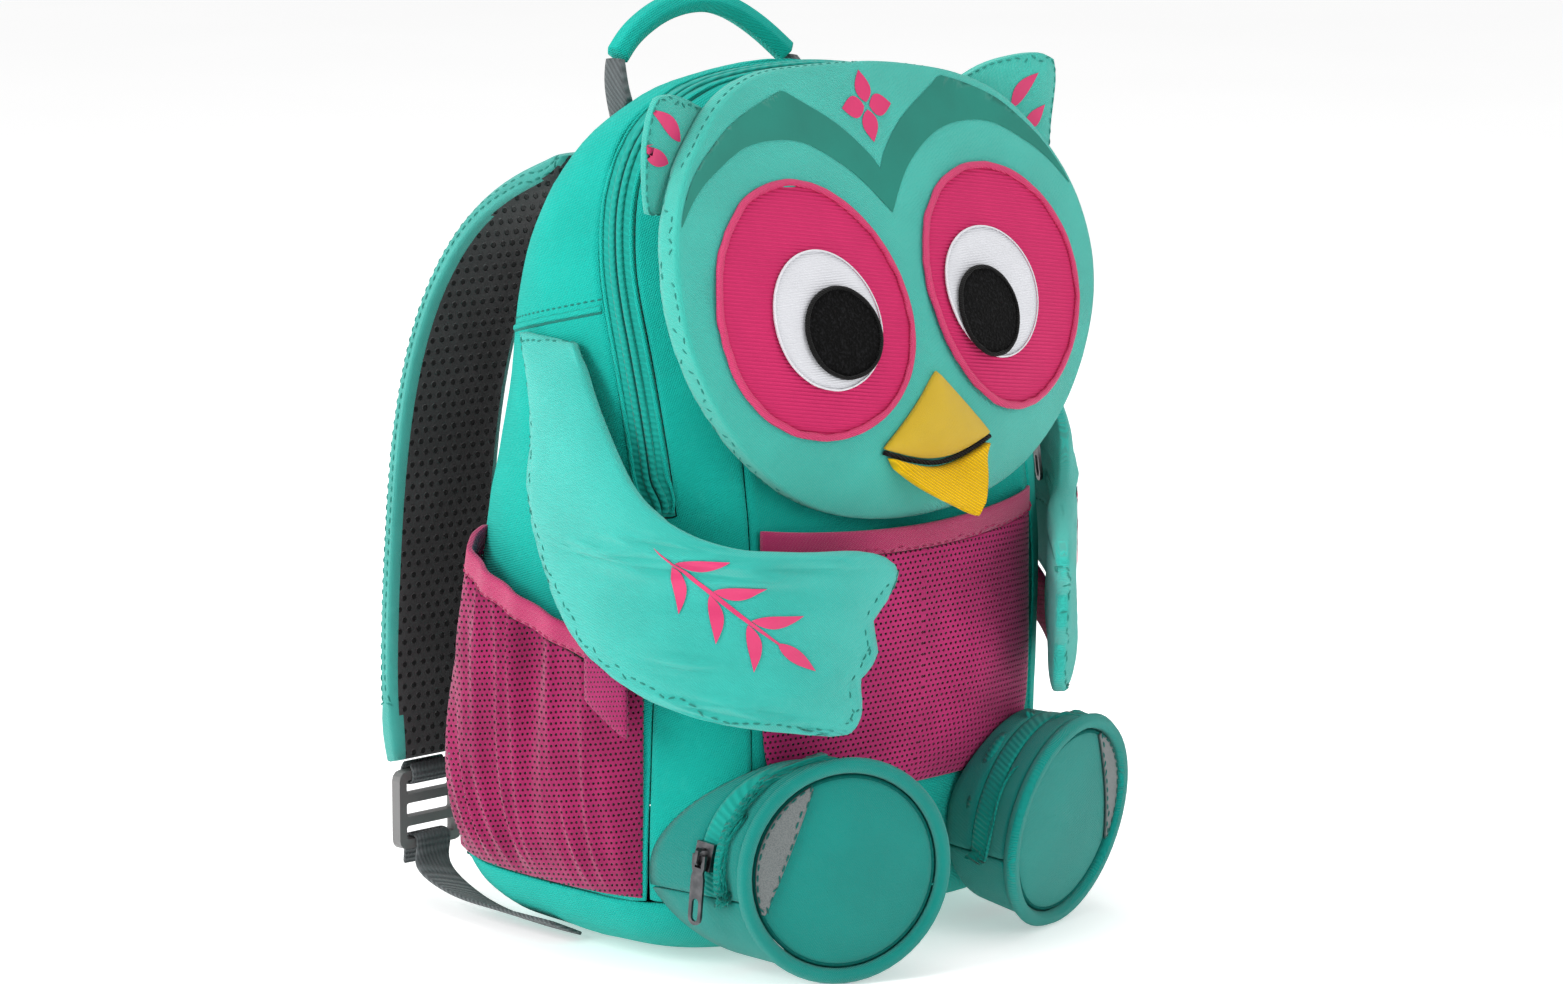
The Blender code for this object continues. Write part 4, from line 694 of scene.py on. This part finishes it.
front_pocket = smoothed("front_pocket_mesh", "front_pocket")
low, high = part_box("front_pocket")
for vertex in front_pocket.data.vertices:
    co = vertex.co
    up = (co.z - low.z) / (high.z - low.z)
    hang = max(min(up * 4, (1 - up) * 4, 1), 0) * max(1 - (co.x / 0.060) ** 2, 0)
    vertex.co.y -= hang * 0.0012 * noise.noise(Vector((co.x * 32, 0.3, co.z * 18)))
dress(front_pocket, "pocket_mesh", pocket_mesh, "front_pocket")
front_band = covered("front_pocket_band_cloth", "front_pocket_band", "pink_band", band_cloth)
seam("front_band_stitches", "front_pocket_band", front_band, "pink_band", band_thread, 0.0016,
     centre=Vector((0, -0.2, 0.142)))
for side in ("left", "right"):
    pocket = gathered(smoothed(f"side_pocket_mesh_{side}", f"side_pocket_{side}", 3), side)
    dress(pocket, "pocket_mesh", side_mesh_painted_shade, f"side_pocket_{side}")
    band = covered(f"side_band_cloth_{side}", f"side_band_{side}", "pink_band", band_cloth)
    seam(f"side_band_stitches_{side}", f"side_band_{side}", band, "pink_band", band_thread, 0.0016,
         centre=Vector((0.3 if side == "right" else -0.3, 0, 0.12)))


# Stuffed pieces
# Face, ears, upper beak and wings are two layers of canvas sewn round the edge over soft filling:
# each swells with it like the real one, and on all but the beak its seam is stitched on
# afterwards.
FACE_TEAL = (0.050, 0.560, 0.465)
face_canvas = canvas("face_cloth_look", FACE_TEAL, 0.00075, 0.78, 0.3, 0.08)
wing_canvas = canvas("wing_cloth_look", (0.040, 0.560, 0.480), 0.00075, 0.78, 0.3, 0.10)
face_thread = canvas("face_thread", dim(FACE_TEAL, 0.70), 0.0004, 0.6, 0.1, 0.0)


FILLED_FROM = 0.018


def nearest_to(points):
    """Lookup of the nearest of some points."""
    near = KDTree(len(points))
    for i, point in enumerate(points):
        near.insert(point, i)
    near.balance()
    return near


def stuffed(name, node, cap):
    """Copy of a solid swollen by its filling, most in the middle of its sides, up to cap."""
    obj = smoothed(name, node)
    near = nearest_to([p for loop in sharp_loops(node)[:2] for p in even(loop, 0.002)])
    for vertex in obj.data.vertices:
        co = vertex.co
        away = min(near.find(co)[2] / FILLED_FROM, 1)
        uneven = 0.75 + 0.5 * noise.noise(co * 38 + Vector((cap * 900, 0, 2.7)))
        vertex.co = co + vertex.normal * cap * sin(away * pi / 2) * uneven
    return obj


def edge_seam(name, obj, edge, slot, finish, inset, sink=0.0005, reach=0.0028, centre=None):
    """Presses a sewn line into a stuffed piece a little inside its edge and stitches along it."""
    line = calmed(laid(even(edge, SEAM_SPACING), tree_of(obj), inset, centre=centre), 2)
    near = nearest_to([point for point, _ in line])
    for vertex in obj.data.vertices:
        _, _, gap = near.find(vertex.co)
        if gap < reach:
            vertex.co = vertex.co - vertex.normal * sink * (1 - gap / reach) ** 1.5
    tree = tree_of(obj)
    snapped = []
    for point, _ in line:
        spot, normal, _, _ = tree.find_nearest(point)
        snapped.append((spot + normal * THREAD * 0.15, normal))
    dress(stitches(name, snapped), slot, finish)


face = stuffed("face_cloth", "face_pad", 0.0009)


def fuller(obj):
    """Lifts the face's upper corners, the left one most, where the real one is stuffed fuller."""
    for vertex in obj.data.vertices:
        co = vertex.co
        up = min(max((co.z - 0.243) / 0.035, 0), 1)
        left = exp(-((co.x + 0.058) / 0.033) ** 2)
        right = exp(-((co.x - 0.062) / 0.030) ** 2)
        vertex.co.z += up * up * (3 - 2 * up) * (0.0070 * left + 0.0015 * right)


fuller(face)
dress(face, "face_cloth", face_canvas, "face_pad")
BEHIND_FACE = Vector((0, 0.3, 0.217))
edge_seam("face_stitches", face, far_loop("face_pad", BEHIND_FACE), "face_cloth", face_thread,
          0.0075, centre=BEHIND_FACE)
# How far each ear is turned, and what it is moved by, from where its solid sits
for side, degrees, root_x, shift in (("left", 15, -0.074, (-0.001, 0, -0.008)),
                                     ("right", 0, 0.074, (0.005, 0, -0.003))):
    ear = stuffed(f"ear_cloth_{side}", f"ear_{side}", 0.0008)
    turn = Matrix.Rotation(radians(degrees), 4, "Y")
    pivot = Vector((root_x, -0.038, 0.262))
    shift = Vector(shift)
    for vertex in ear.data.vertices:
        vertex.co = turn @ (vertex.co - pivot) + pivot + shift
    dress(ear, "face_cloth", face_canvas, f"ear_{side}")
    edge = [turn @ (point - pivot) + pivot + shift
            for point in far_loop(f"ear_{side}", Vector((0, 0.3, 0.27)))]
    edge_seam(f"ear_stitches_{side}", ear, edge, "face_cloth", face_thread, 0.0035, centre=pivot)


# Prints on the face and ears
# A glossy dark teal brow in a V over the eyes, a pink flower of four petals on the forehead and
# two small pink leaves in each ear, all of them plain shapes heat-pressed flat on the cloth.
BROW_TEAL = (0.000, 0.185, 0.140)
PRINT_PINK = (0.590, 0.024, 0.128)


PRINT_ROUGHNESS = 0.42


def print_look(name, colour):
    made, main, place, _ = shader(name, PRINT_ROUGHNESS)
    crack = spots(place, 900, 3)
    base = spots(place, 45, 3).to(0.3, 0.8).blend(dim(colour, 0.92), dim(colour, 1.1))
    finish_shader(main, base, crack, 0.00005, PRINT_ROUGHNESS + crack * 0.12)
    return made


brow_print = print_look("brow_print_look", BROW_TEAL)
pink_print = print_look("pink_print_look", PRINT_PINK)


def pressed(name, rows, tree, direction, slot, finish, lift=0.00025):
    """Flat print laid on a surface: rows of 3D points, each looked up along a direction."""
    points, wide = [], len(rows[0])
    for row in rows:
        for point in row:
            way = direction(point) if callable(direction) else direction
            hit, normal, _, _ = tree.ray_cast(point - way * 0.2, way)
            if hit is None:
                hit, normal, _, _ = tree.find_nearest(point)
            points.append(hit - way * lift)
    faces = []
    for i in range(len(rows) - 1):
        for k in range(wide - 1):
            at = i * wide + k
            faces.append((at, at + 1, at + wide + 1, at + wide))
    dress(mesh_object(name, points, faces), slot, finish)


def leaf_rows(start, end, width, bend, plane, steps=12, across=4):
    """Rows of a leaf from start to end in a plane's own two directions, bowed to one side."""
    start, end = Vector(start), Vector(end)
    run = end - start
    side = Vector((-run.y, run.x)).normalized()
    rows = []
    for i in range(steps + 1):
        t = i / steps
        middle = start + run * t + side * bend * sin(pi * t)
        half = width / 2 * sin(pi * min(t ** 0.8, 1)) + 0.00005
        rows.append([plane(middle + side * half * (2 * k / across - 1))
                     for k in range(across + 1)])
    return rows


def through(rows, place):
    """Value at a place, on straight lines through rows of (place, value)."""
    for (a, low), (b, high) in zip(rows, rows[1:]):
        if place <= b:
            return low + (high - low) * (place - a) / (b - a)
    return rows[-1][1]


# Lower and upper edge of half the brow, as (across, up)
BROW_LOW = ((0, 0.2426), (0.012, 0.2557), (0.028, 0.2655), (0.042, 0.2687), (0.058, 0.2673),
            (0.074, 0.2595), (0.083, 0.2530), (0.0905, 0.2450))
BROW_HIGH = ((0, 0.2566), (0.0044, 0.2626), (0.0165, 0.2727), (0.0376, 0.2843), (0.055, 0.2960),
             (0.080, 0.2800), (0.0915, 0.2450))
face_tree = tree_of(face)
face_rim = even(far_loop("face_pad", BEHIND_FACE), 0.001)
ahead = Vector((0, 1, 0))
FACE_MIDDLE = Vector((0, 0, 0.217))
RIM_MARGIN = 0.0018
rim_reach = sorted((atan2(p.x, p.z - FACE_MIDDLE.z), (Vector((p.x, 0, p.z)) - FACE_MIDDLE).length)
                   for p in face_rim)


def within_face(x, z):
    """A place on the face, brought in where it would lie past the rim."""
    reach = Vector((x, 0, z)) - FACE_MIDDLE
    most = through(rim_reach, atan2(x, z - FACE_MIDDLE.z)) - RIM_MARGIN
    if reach.length > most:
        reach = reach.normalized() * most
    spot = FACE_MIDDLE + reach
    return Vector((spot.x, -0.06, spot.z))


low_line = even([Vector((x, 0, z)) for x, z in BROW_LOW], 0.0018, False)
high_line = even([Vector((x, 0, z)) for x, z in BROW_HIGH], 0.0018, False)
BROW_STEPS = 48
for sign, word in ((-1, "left"), (1, "right")):
    rows = []
    for i in range(BROW_STEPS + 1):
        low = low_line[round(i / BROW_STEPS * (len(low_line) - 1))]
        high = high_line[round(i / BROW_STEPS * (len(high_line) - 1))]
        rows.append([within_face(sign * (low.x + (high.x - low.x) * k / 8),
                                 low.z + (high.z - low.z) * k / 8) for k in range(9)])
    pressed(f"brow_print_{word}", rows, face_tree, ahead, "face_cloth", brow_print)
FLOWER = Vector((0, 0.2765))


def flat(point):
    """A place on the front of the head, from its (across, up)."""
    return Vector((point.x, -0.05, point.y))


for k in range(4):
    way = Vector((sin(k * pi / 2), cos(k * pi / 2)))
    petal = leaf_rows(FLOWER + way * 0.0012, FLOWER + way * 0.0115, 0.0070, 0, flat)
    pressed(f"forehead_petal_{k}", petal, face_tree, ahead, "face_cloth", pink_print)
for side, sign in (("left", -1), ("right", 1)):
    tree = tree_of(bpy.data.objects[f"ear_cloth_{side}"])
    for k, (start, end, bend) in enumerate((((0.0775, 0.2700), (0.0900, 0.2810), 0.0010),
                                            ((0.0830, 0.2635), (0.0935, 0.2700), -0.0008))):
        pair = [(sign * a, b) for a, b in (start, end)]
        pressed(f"ear_leaf_{side}_{k}", leaf_rows(*pair, 0.0052, sign * bend, flat), tree, ahead,
                "face_cloth", pink_print)


# Eyes
# Three discs for each eye, sewn flat on the face: ribbed pink twill with a raised satin-stitched
# rim, a smooth white disc and a pupil of black pile with a stitched rim.
EYE_PINK = (0.610, 0.026, 0.132)
EYE_WHITE = (0.670, 0.675, 0.710)


def ribbed(name, colour, rib, roughness=0.6, tilt=0.0, depth=0.0003, dark=0.8):
    made, main, place, (x, y, z) = shader(name, roughness, 0.05)
    wave = ((z + x * tilt) * (2 * pi / rib)).sine() * 0.5 + 0.5
    fibre = spots(place, 2200, 1)
    mottle = spots(place, 70, 3).to(0.3, 0.75)
    base = mottle.blend(dim(colour, 0.95), dim(colour, 1.05))
    base = wave.blend(dim(colour, dark), base)
    finish_shader(main, base, wave + fibre * 0.5, depth, roughness + fibre * 0.15)
    return made


eye_twill = ribbed("eye_patch_look", EYE_PINK, 0.0012, 0.62, 0.15, 0.0003, 0.86)
eye_smooth = ribbed("eye_white_look", EYE_WHITE, 0.0008, 0.5, 0.0, 0.0001, 0.95)
satin = ribbed("satin_rim_look", dim(EYE_PINK, 1.12), 0.0007, 0.4, 0.6, 0.0002, 0.8)
pile, pile_main, pile_place, _ = shader("pupil_look", 0.95, 0.03)
tuft = spots(pile_place, 1100, 4)
finish_shader(pile_main, tuft.to(0.45, 0.75).blend((0.001, 0.001, 0.001), (0.010, 0.010, 0.011)),
              tuft, 0.0007, 0.95)
rim_black = ribbed("pupil_rim_look", (0.006, 0.006, 0.006), 0.0008, 0.5, 0.5, 0.0002, 0.6)


def on_face(obj, centre, size, shift):
    """Resizes a disc about a centre and slides it over the face, at the height it had on it."""
    def depth(x, z):
        return face_tree.ray_cast(Vector((x, -0.2, z)), ahead)[0].y

    for vertex in obj.data.vertices:
        co = vertex.co
        x = centre[0] + (co.x - centre[0]) * size[0] + shift[0]
        z = centre[1] + (co.z - centre[1]) * size[1] + shift[1]
        co.y += depth(x, z) - depth(co.x, co.z)
        co.x, co.z = x, z


# Each disc's size against its solid, across and up, and how far it is set over
DISC_FITS = {
    "eye_patch_left": ((0.93, 0.92), (0.0, 0.0)),
    "eye_patch_right": ((0.93, 0.90), (-0.001, 0.0)),
    "eye_white_left": ((0.90, 0.92), (-0.0046, 0.0)),
    "eye_white_right": ((0.96, 0.88), (-0.0028, 0.0022)),
    "pupil_left": ((0.98, 0.93), (-0.0046, 0.0)),
    "pupil_right": ((0.94, 0.93), (-0.0048, 0.0008)),
}
for side in ("left", "right"):
    for node, look, rim, wide, tall in (("eye_patch", eye_twill, satin, 0.0026, 0.0018),
                                        ("eye_white", eye_smooth, eye_smooth, 0.0009, 0.0005),
                                        ("pupil", pile, rim_black, 0.0016, 0.0011)):
        disc = smoothed(f"{node}_cloth_{side}", f"{node}_{side}")
        low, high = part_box(f"{node}_{side}")
        middle = ((low.x + high.x) / 2, (low.z + high.z) / 2)
        size, shift = DISC_FITS[f"{node}_{side}"]
        on_face(disc, middle, size, shift)
        dress(disc, node, look, f"{node}_{side}")
        rim_loop = far_loop(f"{node}_{side}", Vector((0, 0.3, 0.21)))
        edge = mesh_object(f"{node}_edge_{side}", rim_loop, [])
        on_face(edge, middle, size, shift)
        line = [vertex.co.copy() for vertex in edge.data.vertices]
        bpy.data.objects.remove(edge)
        line = laid(even(line, 0.0015), tree_of(disc), wide * 0.45, 0.0004)
        dress(welt(f"{node}_rim_{side}", calmed(line, 2), wide, tall, sides=8), node, rim)


# Beak
# A padded golden upper beak of smooth cloth, a lower beak of yellow knit that juts forward, and
# black overlocking along the mouth between them.
YELLOW = (0.860, 0.570, 0.020)
upper_look = canvas("beak_cloth_look", YELLOW, 0.0006, 0.5, 0.2, 0.05)
lower_look = ribbed("beak_knit_look", (0.930, 0.560, 0.004), 0.0016, 0.7, 0.9, 0.0005, 0.72)
overlock = ribbed("dark_piping_look", (0.010, 0.009, 0.010), 0.0012, 0.6, 0.8, 0.0004, 0.5)
upper = stuffed("beak_upper_cloth", "beak_upper", 0.0005)
dress(upper, "beak_cloth", upper_look, "beak_upper")
covered("beak_lower_cloth", "beak_lower", "beak_cloth", lower_look)
covered("mouth_piping_thread", "mouth_piping", "dark_piping", overlock, 1)


# Wings
# Two stuffed canvas wings sewn into the side seams. The left one is folded round the front of the
# bag, the right one reaches out and is seen edge on; each has feathered tips, a sewn edge and a
# print of slim pink leaves, and a tab of pink pile inside its lower edge.
SPRIG_FOOT = Vector((0.036, 0.1450))
SPRIG_TIP = Vector((0.079, 0.1080))
LEAF_LONG = 0.0165
LEAF_WIDE = 0.0040


def sprig():
    """Start, end and bend of the leaves of a sprig, laid flat: three pairs and one at its tip."""
    run = (SPRIG_TIP - SPRIG_FOOT).normalized()
    leaves = [(SPRIG_TIP - run * 0.010, SPRIG_TIP + run * 0.005, 0.0)]
    for share in (0.12, 0.37, 0.62):
        start = SPRIG_FOOT.lerp(SPRIG_TIP, share)
        for turn, bend in ((-0.75, 0.0012), (0.75, -0.0012)):
            way = Vector((run.x * cos(turn) - run.y * sin(turn),
                          run.x * sin(turn) + run.y * cos(turn)))
            leaves.append((start + way * 0.0012, start + way * LEAF_LONG, bend))
    return leaves


WING_LOW = 0.0832
WING_TALL = 0.1212
WING_ROWS = 60


def wing_outline(tree, hub, sign):
    """Outline of a wing seen from straight outside, row by row of height."""
    rear, front = [], []
    for number in range(WING_ROWS + 1):
        z = WING_LOW + WING_TALL * number / WING_ROWS
        hits = []
        for degrees in range(-60, 170):
            angle = radians(degrees)
            way = Vector((sign * cos(angle), -sin(angle), 0))
            hit = tree.ray_cast(Vector((hub.x, hub.y, z)) + way * 0.2, -way)[0]
            if hit is not None:
                hits.append(hit)
        if hits:
            rear.append(hits[0])
            front.append(hits[-1])
    return rear + front[::-1]


tab_look = knit("tab_pile_look", (0.300, 0.020, 0.100), 0.0016, 0.2, 1.0, 0.95, 0.0, 0.0008)
for side, sign in (("left", -1), ("right", 1)):
    wing = stuffed(f"wing_cloth_{side}", f"wing_{side}", 0.0012)
    for vertex in wing.data.vertices:
        co = vertex.co
        ripple = noise.noise(Vector((co.x * 26, co.y * 26, co.z * 40)))
        crease = 0.5 - abs(noise.noise(Vector((co.y * 14 + co.z * 22, co.x * 14, 4.2)))) * 2
        way = out_of_bag(Vector((co.x, co.y, HALF_TALL)))
        vertex.co = co + way * (0.0010 * ripple + 0.0006 * crease)
    dress(wing, "wing_cloth", wing_canvas, f"wing_{side}")
    hub = Vector((sign * 0.045, -0.020, 0))
    edge = even(wing_outline(tree_of(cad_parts[f"wing_{side}"]), hub, sign), 0.0011)
    edge_seam(f"wing_stitches_{side}", wing, edge, "wing_cloth", face_thread, 0.0045, 0.0008,
              0.0036)
    covered(f"wing_tab_pile_{side}", f"wing_tab_{side}", "tab_pile", tab_look)
    tree = tree_of(wing)

    def wrapped(p, sign=sign, hub=hub):
        """A place round the wing, from a flat layout of it."""
        angle = p.x / 0.065
        way = Vector((sign * cos(angle), -sin(angle), 0))
        return Vector((hub.x, hub.y, p.y)) + way * 0.05

    def inward(point, hub=hub):
        return (Vector((hub.x, hub.y, point.z)) - point).normalized()

    for k, (start, end, bend) in enumerate(sprig()):
        rows = leaf_rows(start, end, LEAF_WIDE, bend, wrapped)
        pressed(f"wing_leaf_{side}_{k}", rows, tree, inward, "wing_cloth", pink_print, 0.0004)
    stem = leaf_rows(SPRIG_FOOT, SPRIG_TIP, 0.0013, 0, wrapped, 24, 2)
    pressed(f"wing_stem_{side}", stem, tree, inward, "wing_cloth", pink_print, 0.0004)


# Feet
# Two short drums of deeper teal canvas, open in front of the bag like round pencil cases: a fat
# piped ring round a flat end with a grey reflective corner sewn across it, and a zip round the top
# with a gunmetal slider whose puller hangs down outside.
FOOT_TEAL = (0.001, 0.315, 0.270)
foot_canvas = canvas("foot_cloth_look", FOOT_TEAL, 0.00068, 0.75, 0.2, 0.06)
silver, silver_main, silver_place, _ = shader("reflective_cloth_look", 0.45, 0.0, 0.35)
bead = silver_place.node("ShaderNodeTexVoronoi", Vector=silver_place, Scale=2600)
finish_shader(silver_main, bead.to(0, 0.7).blend((0.075, 0.090, 0.090), (0.15, 0.165, 0.165)),
              bead, 0.00008, spots(silver_place, 60, 2) * 0.2 + 0.35)
foot_thread = canvas("foot_thread", dim(FOOT_TEAL, 0.6), 0.0004, 0.6, 0.1, 0.0)
# The foot seam's cloth is the foot teal at half: painted shade.
foot_seam_shade = canvas("foot_seam_shade_look", dim(FOOT_TEAL, 0.5), 0.0006, 0.8, 0.0, 0.0)
FOOT_OUT, FOOT_UP = 0.054, 0.0375


def bare(node, finish):
    """Shows a solid as it is, with a finish of its own."""
    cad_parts[node].data.materials.clear()
    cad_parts[node].data.materials.append(finish)


for side, sign in (("left", -1), ("right", 1)):
    hub = Vector((sign * FOOT_OUT, -0.07, FOOT_UP))
    toe = Vector((sign * 0.053, -0.09, FOOT_UP))
    for part in ("sole", "band", "heel", "disc"):
        node = f"foot_{part}_{side}"
        piece = smoothed(f"foot_{part}_cloth_{side}", node)
        for vertex in piece.data.vertices if part != "disc" else ():
            co = vertex.co
            away = Vector((co.x - hub.x, 0, co.z - hub.z)).normalized()
            dent = noise.noise(Vector((co.x * 34, co.y * 34, co.z * 34 + 7)))
            vertex.co = co + away * 0.0007 * dent * min(max(co.z / 0.01, 0), 1)
        dress(piece, "foot_cloth", foot_canvas, node)
    disc = piece
    tape = covered(f"foot_zip_tape_{side}", f"foot_zip_{side}", "zip_tape", zip_look)

    def round_foot(point, sign=sign):
        """Angle of a point round the foot, from its outer side over the top."""
        return atan2(point.z - FOOT_UP + 0.02, sign * (point.x - sign * FOOT_OUT))

    edges = long_edges(f"foot_zip_{side}", (f"foot_band_{side}", f"foot_heel_{side}"), 0.0012,
                       hub, round_foot)
    zip_lines(f"foot_zip_{side}", edges, tree_of(tape), foot_canvas)
    covered(f"foot_piping_cloth_{side}", f"foot_piping_{side}", "foot_cloth", foot_canvas, 1)
    # A dark bead sunk round the edge of the flat end is painted shade in the seam where it meets
    # the piped ring.
    rim = laid(even(far_loop(f"foot_disc_{side}"), 0.002), tree_of(disc), 0.0, -0.0004, toe)
    dress(welt(f"foot_disc_seam_{side}", rim, 0.0022, 0.0012), "foot_cloth", foot_seam_shade)
    seam(f"foot_disc_stitches_{side}", f"foot_disc_{side}", disc, "foot_cloth", foot_thread,
         0.0018, toe)
    patch = covered(f"foot_patch_cloth_{side}", f"foot_patch_{side}", "reflective_cloth", silver)
    seam(f"foot_patch_stitches_{side}", f"foot_patch_{side}", patch, "reflective_cloth",
         foot_thread, 0.0014)
    bare(f"foot_slider_{side}", metal)
    bare(f"foot_puller_{side}", metal)
bare("main_slider", metal)


# Shoulder straps and webbing
# Padded straps with grey air mesh inside and teal canvas outside, rolled over at the edges; each
# ends in a ladder lock of grey plastic on ribbed webbing that comes from under the base.
strap_canvas = canvas("strap_cloth_look", (0.060, 0.480, 0.415), 0.0007, 0.75, 0.3, 0.15)
WEB_GREY = (0.120, 0.135, 0.140)
STRAP_ROLL = 0.0038
# Height, distance out from the middle and width of a strap
STRAP_PLAN = ((0.040, 0.070, 0.032), (0.069, 0.064, 0.044), (0.095, 0.058, 0.049),
              (0.129, 0.055, 0.050), (0.164, 0.052, 0.050), (0.196, 0.049, 0.050),
              (0.220, 0.045, 0.049), (0.237, 0.042, 0.047), (0.248, 0.039, 0.045),
              (0.262, 0.036, 0.040))


def webbing_look():
    made, main, place, (x, y, z) = shader("webbing_look", 0.75, 0.2)
    run = ((z - y * 0.8) * (2 * pi / 0.0017)).sine() * 0.5 + 0.5
    across = ((x.size() + y * 0.3) * (2 * pi / 0.0016)).sine() * 0.5 + 0.5
    fibre = spots(place, 2000, 1)
    base = run.blend(dim(WEB_GREY, 0.6), WEB_GREY)
    base = (across * 0.4).blend(base, dim(WEB_GREY, 0.7))
    finish_shader(main, base, run * 0.8 + across * 0.4 + fibre * 0.3, 0.0004, 0.75)
    return made


web_look = webbing_look()
plastic, plastic_main, plastic_place, _ = shader("lock_plastic_look", 0.42)
grain = spots(plastic_place, 1500, 3)
finish_shader(plastic_main, spots(plastic_place, 50, 2).to(0.2, 0.8).blend(
    (0.150, 0.150, 0.150), (0.175, 0.172, 0.170)), grain, 0.00006, grain * 0.2 + 0.32)
for side in ("left", "right"):
    node = f"shoulder_strap_{side}"
    strap = stuffed(f"shoulder_strap_cloth_{side}", node, 0.0008)
    dress(strap, "strap_cloth", strap_canvas, node)
    strap.data.materials.append(air_mesh)
    for patch in strap.data.polygons:
        out, width = (through([(row[0], row[k]) for row in STRAP_PLAN], patch.center.z)
                      for k in (1, 2))
        if patch.normal.y < -0.2 and abs(abs(patch.center.x) - out) < width / 2 - STRAP_ROLL:
            patch.material_index = 1
    edge_seam(f"strap_stitches_{side}", strap, far_loop(node), "strap_cloth", face_thread, 0.0045,
              0.0006, 0.0030)
    for part in ("buckle_loop", "lower_webbing", "handle_end"):
        covered(f"{part}_web_{side}", f"{part}_{side}", "webbing", web_look)
    bare(f"ladder_lock_{side}", plastic)


# Top handle
# A tube of teal canvas with its seam underneath, its grey webbing ends sewn into the rear seam.
covered("top_handle_cloth", "top_handle", "handle_cloth", teal_canvas)
